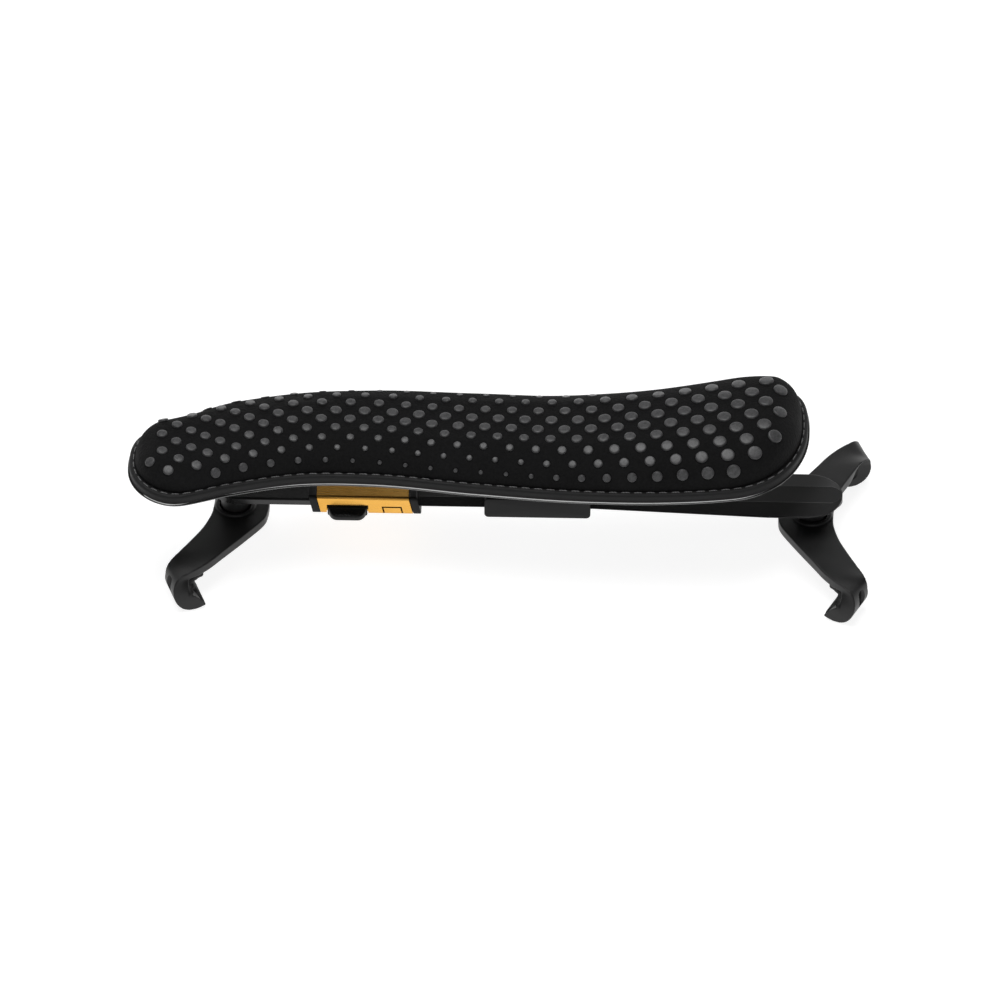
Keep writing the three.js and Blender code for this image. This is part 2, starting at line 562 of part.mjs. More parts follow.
function padAssembly() {
  const group = new THREE.Group();
  put(group, "base_shell", baseShell(), GLOSS_SHELL);
  put(group, "pad_backing", backing(), FABRIC);
  put(group, "edge_binding", binding(), FABRIC);
  put(group, "pad_foam", foam(), FOAM);
  put(group, "pad_cover", cover(), FABRIC);
  put(group, "pad_riser", padRiser(), BLACK_PLASTIC);
  put(group, "saddle_block", saddleBlock(), BLACK_PLASTIC);
  SADDLE_SCREWS_X.forEach((x, i) => put(group, `saddle_screw_${i + 1}`, saddleScrew(x), STEEL));
  shellScrewPlaces().forEach((m, i) => put(group, `shell_screw_${i + 1}`, shellScrew(m), STEEL));
  return group;
}

function barAssembly() {
  const group = new THREE.Group();
  put(group, "right_arm", rightArm(), BLACK_PLASTIC);
  put(group, "slider_sleeve", goldSleeve(), GOLD);
  put(group, "sleeve_end_cap", sleeveEndCap(), BLACK_PLASTIC);
  put(group, "left_rail", leftRail(), BLACK_PLASTIC);
  put(group, "rail_stop_pin", railStopPin(), STEEL);
  put(group, "lock_button", lockButton(), BLACK_PLASTIC);
  put(group, "lock_bridge", lockBridge(), BLACK_PLASTIC);
  put(group, "lock_spring", lockSpring(), STEEL);
  return group;
}

// One fork with its post, screw, washer and rubber grips. The left one faces the other way, so
// the leg that is in front on the right is at the rear on the left.
function forkAssembly(side, turn) {
  const group = new THREE.Group();
  group.position.x = side === "right" ? PIVOT_X : -PIVOT_X;
  group.rotation.z = (side === "right" ? 0 : Math.PI) + turn;
  const [near, far] = side === "right" ? ["front", "rear"] : ["rear", "front"];
  put(group, `${side}_post`, post(), BLACK_PLASTIC);
  put(group, `${side}_height_screw`, heightScrew(), STEEL);
  put(group, `${side}_friction_washer`, frictionWasher(), STEEL);
  put(group, `${side}_fork`, fork(), BLACK_PLASTIC);
  put(group, `${side}_${near}_grip`, frontGrip(), RUBBER);
  put(group, `${side}_${far}_grip`, mirroredY(frontGrip()), RUBBER);
  return group;
}

rest.add(padAssembly(), barAssembly(), forkAssembly("right", 0), forkAssembly("left", LEFT_FORK_TURN));

// The origin is the middle of the underside, on the surface that the claws stand on.
const bounds = new THREE.Box3().setFromObject(rest, true);
rest.position.set(-(bounds.min.x + bounds.max.x) / 2, -(bounds.min.y + bounds.max.y) / 2, -bounds.min.z);

const shoulderRest = new THREE.Group().add(rest);
export default shoulderRest;
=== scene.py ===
# The looks of a violin shoulder rest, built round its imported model.
import json
import math
from contextlib import contextmanager

import bmesh
import bpy
import numpy as np
from mathutils import Matrix, Vector
from mathutils.bvhtree import BVHTree

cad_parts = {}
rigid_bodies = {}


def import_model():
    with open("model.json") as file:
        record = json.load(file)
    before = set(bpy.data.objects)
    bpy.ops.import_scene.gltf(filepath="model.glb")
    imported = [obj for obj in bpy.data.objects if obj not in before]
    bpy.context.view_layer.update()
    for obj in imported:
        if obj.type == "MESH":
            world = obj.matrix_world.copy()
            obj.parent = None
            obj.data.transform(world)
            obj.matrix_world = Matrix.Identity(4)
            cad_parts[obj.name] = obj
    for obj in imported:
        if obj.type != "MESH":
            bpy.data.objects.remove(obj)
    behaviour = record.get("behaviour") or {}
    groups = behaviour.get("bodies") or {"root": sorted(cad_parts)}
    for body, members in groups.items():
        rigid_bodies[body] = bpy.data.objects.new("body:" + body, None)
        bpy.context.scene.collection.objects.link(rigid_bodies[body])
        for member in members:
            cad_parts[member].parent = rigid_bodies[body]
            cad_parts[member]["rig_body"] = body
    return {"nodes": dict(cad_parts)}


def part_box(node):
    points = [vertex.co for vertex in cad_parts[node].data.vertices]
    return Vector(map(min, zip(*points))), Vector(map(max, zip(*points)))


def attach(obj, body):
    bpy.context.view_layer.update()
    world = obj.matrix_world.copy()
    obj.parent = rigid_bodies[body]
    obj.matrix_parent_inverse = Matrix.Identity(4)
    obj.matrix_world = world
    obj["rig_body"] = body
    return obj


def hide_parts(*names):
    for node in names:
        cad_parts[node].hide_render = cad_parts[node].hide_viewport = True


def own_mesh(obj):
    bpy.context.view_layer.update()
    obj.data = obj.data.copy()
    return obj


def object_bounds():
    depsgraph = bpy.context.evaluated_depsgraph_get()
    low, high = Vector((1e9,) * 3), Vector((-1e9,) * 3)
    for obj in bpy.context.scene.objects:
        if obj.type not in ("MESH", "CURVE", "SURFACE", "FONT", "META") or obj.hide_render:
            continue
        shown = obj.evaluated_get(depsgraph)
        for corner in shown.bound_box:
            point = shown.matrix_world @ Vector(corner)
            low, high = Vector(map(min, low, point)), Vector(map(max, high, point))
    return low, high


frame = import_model()
cad_low, cad_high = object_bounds()

MM = 0.001


def centre(node):
    low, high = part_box(node)
    return (low + high) / 2


# The design frame: millimetres from the middle of the bar, which lies between the two posts.
LEFT_PIVOT = centre("left_post")
RIGHT_PIVOT = centre("right_post")
ORIGIN = Vector(((LEFT_PIVOT.x + RIGHT_PIVOT.x) / 2, LEFT_PIVOT.y, 0.0))


def place(points):
    """Design-frame millimetres to metres in the row frame."""
    return [ORIGIN + Vector(p) * MM for p in points]


def add_object(name, data):
    piece = bpy.data.objects.new(name, data)
    bpy.context.scene.collection.objects.link(piece)
    return piece


# -------------------- camera
VIEW_AZIMUTH = math.radians(1.5)
VIEW_ELEVATION = math.radians(38.0)
LENS = 1000.0
SENSOR = 36.0
FRAME_WIDTH = 0.3205  # metres across the picture, at the object
TARGET_FORWARD = 0.0006  # how far in front of the object's middle the camera aims
TARGET_HEIGHT = 0.315  # and how far up it, as a share of its height


def add_camera():
    data = bpy.data.cameras.new("camera")
    data.lens = LENS
    data.sensor_width = SENSOR
    data.clip_start = 0.05
    data.clip_end = 40.0
    camera = add_object("camera", data)
    distance = FRAME_WIDTH * LENS / SENSOR
    size = cad_high - cad_low
    target = Vector(((cad_low.x + cad_high.x) / 2, (cad_low.y + cad_high.y) / 2 - TARGET_FORWARD,
                     cad_low.z + TARGET_HEIGHT * size.z))
    side, up = VIEW_AZIMUTH, VIEW_ELEVATION
    back = Vector((math.sin(side) * math.cos(up), -math.cos(side) * math.cos(up), math.sin(up)))
    camera.location = target + back * distance
    camera.rotation_euler = (target - camera.location).to_track_quat("-Z", "Y").to_euler()
    bpy.context.scene.camera = camera


add_camera()


# -------------------- materials
class Nodes:
    """A short way to write a material's node tree."""

    def __init__(self, name):
        self.material = bpy.data.materials.new(name)
        self.material.use_nodes = True
        self.tree = self.material.node_tree
        self.shader = self.tree.nodes["Principled BSDF"]
        self.place = self.add("ShaderNodeTexCoord").outputs["Object"]

    def add(self, kind, inputs=None, **settings):
        node = self.tree.nodes.new(kind)
        for key, value in settings.items():
            setattr(node, key, value)
        for key, value in (inputs or {}).items():
            self.set(node.inputs[key], value)
        return node

    def set(self, socket, value):
        if isinstance(value, bpy.types.NodeSocket):
            self.tree.links.new(value, socket)
        else:
            socket.default_value = value

    def shade(self, **values):
        for key, value in values.items():
            self.set(self.shader.inputs[key.replace("_", " ")], value)
        return self

    def noise(self, scale, detail=3.0, roughness=0.6, distortion=0.0, stretch=None):
        vector = self.place
        if stretch:
            vector = self.add("ShaderNodeMapping", {"Vector": vector, "Scale": stretch}).outputs[0]
        return self.add("ShaderNodeTexNoise", {
            "Vector": vector, "Scale": scale, "Detail": detail,
            "Roughness": roughness, "Distortion": distortion}).outputs["Fac"]

    def cells(self, scale):
        return self.add("ShaderNodeTexVoronoi", {"Vector": self.place, "Scale": scale}).outputs["Distance"]

    def spread(self, value, low, high, start=0.3, end=0.7):
        return self.add("ShaderNodeMapRange", {
            "Value": value, "From Min": start, "From Max": end, "To Min": low, "To Max": high}).outputs[0]

    def blend(self, amount, dark, light):
        node = self.add("ShaderNodeMix", {"Factor": amount}, data_type="RGBA")
        node.inputs[6].default_value = (*dark, 1.0)
        node.inputs[7].default_value = (*light, 1.0)
        return node.outputs[2]

    def bump(self, *layers):
        """Each layer is (height, strength, depth in metres)."""
        normal = None
        for height, strength, depth in layers:
            inputs = {"Height": height, "Strength": strength, "Distance": depth}
            if normal is not None:
                inputs["Normal"] = normal
            normal = self.add("ShaderNodeBump", inputs).outputs["Normal"]
        self.set(self.shader.inputs["Normal"], normal)
        return self


def grey(value, blue=0.0):
    return (value, value, value + blue)


def moulded_plastic(name, dark, light, rough, grain=2600.0, depth=0.00003, shine=0.3, coat=0.0):
    """Plastic between two greys and two roughnesses, with a fine grain of this scale and depth in metres."""
    n = Nodes(name)
    n.shade(Specular_IOR_Level=shine, Coat_Weight=coat)
    wide = n.noise(60.0, 4.0)
    fine = n.noise(grain, 2.0)
    n.shade(Base_Color=n.blend(n.spread(wide, 0, 1), dark, light),
            Roughness=n.spread(wide, *rough))
    n.bump((n.noise(320.0, 2.0), 0.12, 0.00005), (fine, 0.35, depth))
    return n.material


def make_fabric():
    """A napped, suede-like knit with a faint weave."""
    n = Nodes("pad_fabric")
    nap = n.noise(900.0, 6.0, 0.75)
    cloudy = n.noise(45.0, 4.0, 0.6, 0.4)
    mixed = n.add("ShaderNodeMath", {0: nap, 1: cloudy}, operation="ADD").outputs[0]
    n.shade(Base_Color=n.blend(n.spread(mixed, 0, 1, 0.75, 1.3), grey(0.0022, 0.0001), grey(0.0085, 0.0003)),
            Roughness=n.spread(cloudy, 0.78, 0.95))
    n.shade(Sheen_Weight=0.015, Sheen_Roughness=0.5, Specular_IOR_Level=0.12)
    n.bump((n.cells(1150.0), 0.55, 0.00022), (n.noise(2600.0, 3.0), 0.5, 0.0001))
    return n.material


def make_binding():
    """The smoother fabric that wraps the pad's edge."""
    n = Nodes("edge_fabric")
    cloudy = n.noise(120.0, 4.0, 0.6)
    n.shade(Base_Color=n.blend(n.spread(cloudy, 0, 1), grey(0.005, 0.0002), grey(0.010, 0.0003)),
            Roughness=n.spread(cloudy, 0.5, 0.68), Sheen_Weight=0.02, Specular_IOR_Level=0.22)
    n.bump((n.cells(1500.0), 0.35, 0.00015), (n.noise(500.0, 3.0), 0.25, 0.0001))
    return n.material


def make_silicone():
    """The mottled rubber of the raised dots."""
    n = Nodes("grip_silicone")
    mottle = n.noise(1300.0, 5.0, 0.7)
    wide = n.noise(90.0, 3.0)
    n.shade(Base_Color=n.blend(n.spread(mottle, 0, 1, 0.35, 0.65), grey(0.031, 0.001), grey(0.07, 0.002)),
            Roughness=n.spread(wide, 0.28, 0.40), Specular_IOR_Level=0.4)
    n.bump((n.noise(1700.0, 4.0, 0.7), 0.6, 0.00012))
    return n.material


def make_thread():
    n = Nodes("stitch_thread")
    twist = n.add("ShaderNodeTexWave", {"Vector": n.place, "Scale": 700.0, "Distortion": 1.5},
                  bands_direction="DIAGONAL").outputs["Fac"]
    n.shade(Base_Color=n.blend(twist, grey(0.06), grey(0.17, 0.002)), Roughness=0.55)
    n.bump((twist, 0.5, 0.0001))
    return n.material


def make_gold():
    """Anodised aluminium, finely brushed along the bar."""
    n = Nodes("gold_anodised")
    brushed = n.noise(900.0, 3.0, 0.6, 0.0, (0.04, 1.0, 1.0))
    wide = n.noise(70.0, 3.0)
    n.shade(Base_Color=n.blend(n.spread(wide, 0, 1), (0.74, 0.385, 0.075), (0.80, 0.44, 0.10)),
            Metallic=1.0, Roughness=n.spread(brushed, 0.24, 0.32))
    n.bump((brushed, 0.08, 0.00002), (n.noise(2500.0, 2.0), 0.12, 0.00002))
    return n.material


def make_steel():
    n = Nodes("turned_steel")
    rings = n.noise(700.0, 3.0, 0.6, 0.0, (1.0, 1.0, 0.06))
    n.shade(Base_Color=n.blend(rings, grey(0.36, 0.01), grey(0.52, 0.01)),
            Metallic=1.0, Roughness=n.spread(rings, 0.24, 0.42))
    n.bump((rings, 0.2, 0.00004))
    return n.material


SATIN = moulded_plastic("satin_plastic", grey(0.0055, 0.0002), grey(0.009, 0.0003), (0.36, 0.46), shine=0.2)
FORK_PLASTIC = moulded_plastic("fork_plastic", grey(0.0055, 0.0002), grey(0.0095, 0.0003), (0.38, 0.46),
                               shine=0.34)
ARM_PLASTIC = moulded_plastic("arm_plastic", grey(0.006, 0.0002), grey(0.0095, 0.0003), (0.36, 0.44), 2200.0,
                              shine=0.22)
RAIL_PLASTIC = moulded_plastic("rail_plastic", grey(0.004, 0.0002), grey(0.007, 0.0002), (0.2, 0.28), 1800.0,
                               0.00001, shine=0.6)
GLOSS = moulded_plastic("gloss_plastic", grey(0.004, 0.0002), grey(0.007, 0.0002), (0.08, 0.14), 1800.0,
                        0.00001, shine=0.8, coat=1.0)
BUTTON_PLASTIC = moulded_plastic("button_plastic", grey(0.003, 0.0002), grey(0.005, 0.0002), (0.2, 0.28),
                                 1800.0, 0.00001)
RUBBER = moulded_plastic("soft_rubber", grey(0.004), grey(0.008), (0.5, 0.66), 1500.0, 0.00006)
NYLON = moulded_plastic("washer_nylon", grey(0.02), grey(0.03), (0.4, 0.5))
FABRIC = make_fabric()
BINDING = make_binding()
SILICONE = make_silicone()
THREAD = make_thread()
GOLD = make_gold()
STEEL = make_steel()


# -------------------- mesh helpers
WELD = 1e-6  # metres


@contextmanager
def edited(mesh):
    bm = bmesh.new()
    bm.from_mesh(mesh)
    yield bm
    bm.to_mesh(mesh)
    bm.free()


def shade_smooth(mesh, smooth=True):
    mesh.polygons.foreach_set("use_smooth", [smooth] * len(mesh.polygons))


def new_object(name, verts, faces, material, body, slot, smooth=True, sharp=None):
    """A piece from its mesh, with edges over the angle sharp, in degrees, left crisp."""
    mesh = bpy.data.meshes.new(name)
    mesh.from_pydata([tuple(v) for v in verts], [], faces)
    mesh.validate()
    piece = add_object(name, mesh)
    with edited(mesh) as bm:
        bmesh.ops.remove_doubles(bm, verts=bm.verts, dist=WELD)
        bmesh.ops.recalc_face_normals(bm, faces=bm.faces)
    shade_smooth(mesh, smooth)
    if sharp:
        mesh.set_sharp_from_angle(angle=math.radians(sharp))
    mesh.materials.append(material)
    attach(piece, body)
    return piece


def circle(count):
    """The cosine and sine of evenly spaced angles."""
    angles = [2 * math.pi * k / count for k in range(count)]
    return [(math.cos(a), math.sin(a)) for a in angles]


def loft_faces(rings, count, first=0):
    faces = []
    for i in range(rings - 1):
        for j in range(count):
            a = first + i * count + j
            b = first + i * count + (j + 1) % count
            faces.append((a, b, b + count, a + count))
    return faces


def band_faces(rings, count, gap=None):
    """Faces of a band that closes on itself, left open after the point numbered gap."""
    faces = []
    for i in range(rings):
        here, after = i * count, (i + 1) % rings * count
        for j in range(count):
            k = (j + 1) % count
            if j != gap:
                faces.append((here + j, here + k, after + k, after + j))
    return faces


def loft(rings):
    """Vertices and faces of a closed body through rings of points, with a fan over each end."""
    count = len(rings[0])
    verts = [Vector(p) for ring in rings for p in ring]
    faces = loft_faces(len(rings), count)
    for ring, flip in ((0, True), (len(rings) - 1, False)):
        middle = sum((Vector(p) for p in rings[ring]), Vector()) / count
        verts.append(middle)
        for j in range(count):
            pair = (ring * count + j, ring * count + (j + 1) % count)
            faces.append((len(verts) - 1, *(reversed(pair) if flip else pair)))
    return verts, faces


def apply_modifiers(piece):
    view = bpy.context.evaluated_depsgraph_get()
    mesh = bpy.data.meshes.new_from_object(piece.evaluated_get(view), depsgraph=view)
    old = piece.data
    piece.modifiers.clear()
    piece.data = mesh
    bpy.data.meshes.remove(old)


def copy_node(node, name, material):
    """A welded copy of a CAD node, for finer edges."""
    mesh = frame["nodes"][node].data.copy()
    mesh.name = name
    with edited(mesh) as bm:
        bmesh.ops.remove_doubles(bm, verts=bm.verts, dist=2 * WELD)
        bmesh.ops.dissolve_limit(bm, angle_limit=math.radians(1.0), verts=bm.verts, edges=bm.edges)
    shade_smooth(mesh)
    mesh.materials.clear()
    mesh.materials.append(material)
    return add_object(name, mesh)


def bevelled(node, name, material, width):
    """A copy of a CAD node with its sharp edges rounded."""
    piece = copy_node(node, name, material)
    bevel = piece.modifiers.new("edges", "BEVEL")
    bevel.width = width * MM
    bevel.segments = 4
    bevel.limit_method = "ANGLE"
    bevel.angle_limit = math.radians(28)
    bevel.harden_normals = True
    bevel.use_clamp_overlap = True
    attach(piece, frame["nodes"][node]["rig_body"])
    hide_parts(node)


# -------------------- pad
PAD_LINE = [  # x, y, height of the shell's underside, half-width
    (-126.3, -13.4, 36.5, 18.9), (-112.0, -12.9, 35.8, 18.7), (-92.0, -4.7, 34.9, 19.0),
    (-72.0, 1.2, 34.2, 19.0), (-48.0, 3.2, 33.7, 19.7), (-16.0, 1.0, 33.4, 21.0),
    (20.0, -0.6, 33.5, 22.6), (46.0, 0.7, 33.9, 24.2), (66.0, 3.2, 34.8, 25.6),
    (82.0, 6.2, 35.9, 26.2), (91.4, 9.4, 36.8, 27.7),
]
PAD_LEFT, PAD_RIGHT = PAD_LINE[0][0], PAD_LINE[-1][0]
PAD_LEFT_END, PAD_RIGHT_END = 19.5, 23.7
FRONT_ROUND, REAR_ROUND = 2.15, 2.6  # how square the ends' front and rear corners are
PAD_TILT = math.radians(2.0)

LINE = np.array(PAD_LINE)


def along_pad(x, column):
    """The pad line's y, z or half-width at x, as a smooth curve through its points."""
    xs, ys = LINE[:, 0], LINE[:, column]
    i = int(np.clip(np.searchsorted(xs, x) - 1, 0, len(xs) - 2))
    slopes = np.gradient(ys, xs)
    span = xs[i + 1] - xs[i]
    t = (x - xs[i]) / span
    return ((2 * t**3 - 3 * t**2 + 1) * ys[i] + (t**3 - 2 * t**2 + t) * span * slopes[i]
            + (3 * t**2 - 2 * t**3) * ys[i + 1] + (t**3 - t**2) * span * slopes[i + 1])


def end_round(past, power):
    """The share of the width that is left, past this share of a rounded end."""
    past = min(max(past, 0.0), 1.0)
    return max(1e-4, 1 - past**power) ** (1 / power)


def pad_half(x, inset=0.0, power=FRONT_ROUND):
    """The pad's half-width at x, inside its edge by inset."""
    full = along_pad(x, 3) - inset
    left = end_round(1 - (x - PAD_LEFT - inset) / PAD_LEFT_END, power)
    right = end_round(1 - (PAD_RIGHT - inset - x) / PAD_RIGHT_END, power)
    return full * left * right


def pad_point(x, across, up):
    """A point in the pad's own section at x, across and up from its centre line."""
    y, z = along_pad(x, 1), along_pad(x, 2)
    c, s = math.cos(PAD_TILT), math.sin(PAD_TILT)
    return (x, y + across * c - up * s, z + across * s + up * c)


def pad_stations(inset, step, per_end=16):
    """x values from end to end, closer together round the ends."""
    left, right = PAD_LEFT + inset, PAD_RIGHT - inset
    start, stop = left + PAD_LEFT_END, right - PAD_RIGHT_END
    quarter = [i / per_end * math.pi / 2 for i in range(per_end)]
    head = [start - PAD_LEFT_END * math.cos(turn) for turn in quarter]
    tail = [stop + PAD_RIGHT_END * math.cos(turn) for turn in reversed(quarter)]
    count = round((stop - start) / step)
    middle = [start + (stop - start) * i / count for i in range(count)]
    return head + middle + [stop] + tail


def ramp(value, start, stop):
    """0 before start, 1 after stop, and a smooth rise between them."""
    t = min(max((value - start) / (stop - start), 0.0), 1.0)
    return t * t * (3 - 2 * t)


SEAM_INSET = 2.4  # from the shell's edge to the line of stitches
REAR_INSET = 0.7  # the crown's rear foot stands nearer the edge along the middle
FRONT_SQUARE, REAR_SQUARE = 3.0, 5.0  # how boxy the crown's front and rear shoulders are
FOOT_HEIGHT = 3.7
ARC_STEPS = 200


def crown_height(x):
    """The crown is lowest at its left end and rises towards the right."""
    return 6.8 + 1.1 * ramp(x, -60, 0) + 2.7 * ramp(x, 0, 62)


def rear_inset(x):
    return SEAM_INSET - (SEAM_INSET - REAR_INSET) * ramp(x, -118, -95) * (1 - ramp(x, 10, 62))


def crown_section(x, steps, raised=0.0):
    """Evenly spaced (across, up) points over the crown at x, from its front foot to its rear one."""
    front = pad_half(x, SEAM_INSET)
    rear = pad_half(x, SEAM_INSET, REAR_ROUND) + SEAM_INSET - rear_inset(x)
    full = 0.8 * (along_pad(x, 3) - SEAM_INSET)
    rise = (crown_height(x) + raised) * min(1.0, front / full)
    points = []
    for i in range(ARC_STEPS + 1):
        turn = math.pi * i / ARC_STEPS
        c, s = abs(math.cos(turn)), math.sin(turn)
        half, square = (-front, FRONT_SQUARE) if turn < math.pi / 2 else (rear, REAR_SQUARE)
        points.append((half * c ** (2 / square), FOOT_HEIGHT + rise * max(s, 0.0) ** (2 / square)))
    return even_points(points, steps)


def distances(line):
    """How far along a polyline each of its points lies."""
    return np.concatenate([[0], np.cumsum(np.linalg.norm(np.diff(line, axis=0), axis=1))])


def even_points(points, steps):
    """The polyline resampled at equal distances along itself."""
    line = np.array(points)
    length = distances(line)
    at = np.linspace(0, length[-1], steps + 1)
    return [tuple(np.interp(t, length, line[:, k]) for k in range(line.shape[1])) for t in at]


CROWN_STEPS = 40
CROWN_STEP = 1.9  # between sections, along the pad
FOOT_DEPTH = 1.5  # the crown's wall runs this far down inside the rim
FLOOR_ACROSS = (1.0, 0.5, 0.0, -0.5, -1.0)  # points across the crown's floor, from rear to front
CLOTH_SINK = 0.35  # the cloth settles about this far, so the crown starts higher


def make_crown():
    """The padded crown as a closed form, ready for its cloth."""
    rings = []
    for x in pad_stations(SEAM_INSET, CROWN_STEP):
        crown = crown_section(x, CROWN_STEPS, CLOTH_SINK)
        front, rear = crown[0][0], crown[-1][0]
        under = [(abs(t) * (rear if t > 0 else front), FOOT_HEIGHT - FOOT_DEPTH) for t in FLOOR_ACROSS]
        rings.append(place(pad_point(x, a, u) for a, u in crown + under))
    piece = new_object("pad_crown", *loft(rings), FABRIC, "frame", "pad_fabric")
    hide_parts("pad_cover", "pad_foam", "pad_backing")
    return piece


CLOTH = {"quality": 6, "mass": 0.25, "tension_stiffness": 22, "compression_stiffness": 22,
         "shear_stiffness": 8, "bending_stiffness": 1.2, "use_pressure": True}


def inflate(piece, held, pressure=4.0, cap=0.0007, frames=20):
    """Blow a closed cloth up a little, with the vertices in held fixed, and keep the result."""
    rest = [v.co.copy() for v in piece.data.vertices]
    group = piece.vertex_groups.new(name="held")
    group.add(held, 1.0, "REPLACE")
    cloth = piece.modifiers.new("cloth", "CLOTH")
    for key, value in CLOTH.items():
        setattr(cloth.settings, key, value)
    cloth.settings.uniform_pressure_force = pressure
    cloth.settings.vertex_group_mass = "held"
    cloth.settings.effector_weights.gravity = 0
    cloth.collision_settings.use_collision = False
    cloth.collision_settings.use_self_collision = False
    cloth.point_cache.frame_start = 1
    cloth.point_cache.frame_end = frames
    for step in range(1, frames + 1):
        bpy.context.scene.frame_set(step)
    apply_modifiers(piece)
    for vertex, old in zip(piece.data.vertices, rest):
        move = vertex.co - old
        if move.length > cap:
            vertex.co = old + move * (cap / move.length)
    bpy.context.scene.frame_set(1)
    piece.vertex_groups.clear()


def blow_up(piece):
    """Inflate the crown with its foot, floor and both ends held."""
    ring_size = CROWN_STEPS + 1 + len(FLOOR_ACROSS)
    foot = [0, *range(CROWN_STEPS, ring_size)]
    rings = (len(piece.data.vertices) - 2) // ring_size
    held = [r * ring_size + k for r in range(rings) for k in foot]
    held += [r * ring_size + k for r in (0, rings - 1) for k in range(ring_size)]
    inflate(piece, held)


crown = make_crown()
blow_up(crown)
smooth = crown.modifiers.new("finer", "SUBSURF")
smooth.levels = smooth.render_levels = 1
apply_modifiers(crown)
shade_smooth(crown.data)
crown_tree = BVHTree.FromObject(crown, bpy.context.evaluated_depsgraph_get())
ABOVE_PAD = 40  # well clear of the crown


def on_crown(x, across):
    """The point and normal of the crown's surface at x and across."""
    start = place([pad_point(x, across, ABOVE_PAD)])[0]
    end = place([pad_point(x, across, 0)])[0]
    hit = crown_tree.ray_cast(start, (end - start).normalized())
    return (hit[0], hit[1]) if hit[0] else (None, None)


def pad_outline(spacing):
    """The shell's outline, as points and inward normals in the pad's own plane."""
    xs = pad_stations(0.0, 1.0, 40)
    front = [(x, -pad_half(x)) for x in xs]
    rear = [(x, pad_half(x, 0.0, REAR_ROUND)) for x in reversed(xs)]
    loop = front + rear + front[:1]
    total = sum(math.dist(p, q) for p, q in zip(loop, loop[1:]))
    points = even_points(loop, round(total / spacing))[:-1]
    count = len(points)
    outline = []
    for i in range(count):
        (x0, y0), (x1, y1) = points[i - 3], points[(i + 3) % count]
        length = math.hypot(x1 - x0, y1 - y0)
        outline.append((points[i], (-(y1 - y0) / length, (x1 - x0) / length)))
    return outline


def inside(outline_point, inset, up):
    """A point at this distance inside the outline and this height over the shell's underside."""
    (x, across), (nx, na) = outline_point
    return pad_point(x + nx * inset, across + na * inset, up)


OUTLINE_STEP = 0.5
STITCH_PITCH = 4.0
STITCH_LENGTH = 3.0
STITCH_INSET = 1.85
STITCH_HEIGHT, STITCH_DIVE = 3.75, 0.4
STITCH_RADIUS = 0.17
STITCH_SIDES, STITCH_RINGS = 8, 9
SHELL_INNER = 4.0
RIM_PROFILE = [  # inset from the shell's edge, and height over its underside
    (0.74, 0.5), (0.62, 1.2), (0.5, 2.1), (0.5, 2.8), (0.75, 3.3), (1.2, 3.55),
    (1.7, 3.62), (2.2, 3.6), (2.6, 3.3), (3.6, 3.2), (3.6, 0.5),
]
SHELL_PROFILE = [
    (0.03, 0.06), (0.0, 0.12), (0.0, 0.26), (0.02, 0.34), (0.07, 0.4), (0.32, 0.53), (0.57, 0.66),
    (0.68, 0.7), (0.9, 0.72), (SHELL_INNER, 0.9), (SHELL_INNER, 0.35), (2.4, 0.0), (1.2, 0.0), (0.1, 0.02),
]
PUCKER_REACH = 1.1  # how far from the stitches the rim is drawn in
PUCKER_DEPTH = 0.1

outline = pad_outline(OUTLINE_STEP)
stitch_count = round(len(outline) * OUTLINE_STEP / STITCH_PITCH)


def make_rim():
    """The bound edge, a closed band round the pad that is drawn in at each stitch."""
    profile = spline(RIM_PROFILE, 3, closed=True)
    verts = []
    for i, point in enumerate(outline):
        between = 0.5 - 0.5 * math.cos(2 * math.pi * i * stitch_count / len(outline))
        for inset, up in profile:
            near = max(0.0, 1 - abs(inset - STITCH_INSET) / PUCKER_REACH)
            verts += place([inside(point, inset, up + PUCKER_DEPTH * near * (between - 0.6))])
    faces = band_faces(len(outline), len(profile))
    piece = new_object("pad_rim", verts, faces, BINDING, "frame", "pad_fabric")
    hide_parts("edge_binding")


def make_stitches():
    """Short threads that dive into the rim at both ends."""
    verts, faces = [], []
    sides, rings = STITCH_SIDES, STITCH_RINGS
    count = len(outline)
    seam = [Vector(inside(point, STITCH_INSET, 0)) for point in outline]
    for k in range(stitch_count):
        middle = (k + 0.5) * count / stitch_count
        first = len(verts)
        for r in range(rings):
            t = r / (rings - 1) * 2 - 1
            at = middle + t * STITCH_LENGTH / 2 / OUTLINE_STEP
            i = int(math.floor(at)) % count
            f = at - math.floor(at)
            here = seam[i].lerp(seam[(i + 1) % count], f)
            forward = (seam[(i + 2) % count] - seam[(i - 2) % count]).normalized()
            lift = STITCH_HEIGHT - STITCH_DIVE * t ** 6
            centre_line = here + Vector((0, -math.sin(PAD_TILT), math.cos(PAD_TILT))) * lift
            side = forward.cross(Vector((0, 0, 1))).normalized()
            radius = STITCH_RADIUS * (1 - 0.5 * t ** 6)
            verts += [centre_line + (side * c + Vector((0, 0, 1)) * s) * radius for c, s in circle(sides)]
        faces += loft_faces(rings, sides, first)
        faces.append(tuple(first + j for j in reversed(range(sides))))
        last = first + (rings - 1) * sides
        faces.append(tuple(last + j for j in range(sides)))
    new_object("pad_stitches", place(verts), faces, THREAD, "frame", "pad_fabric")


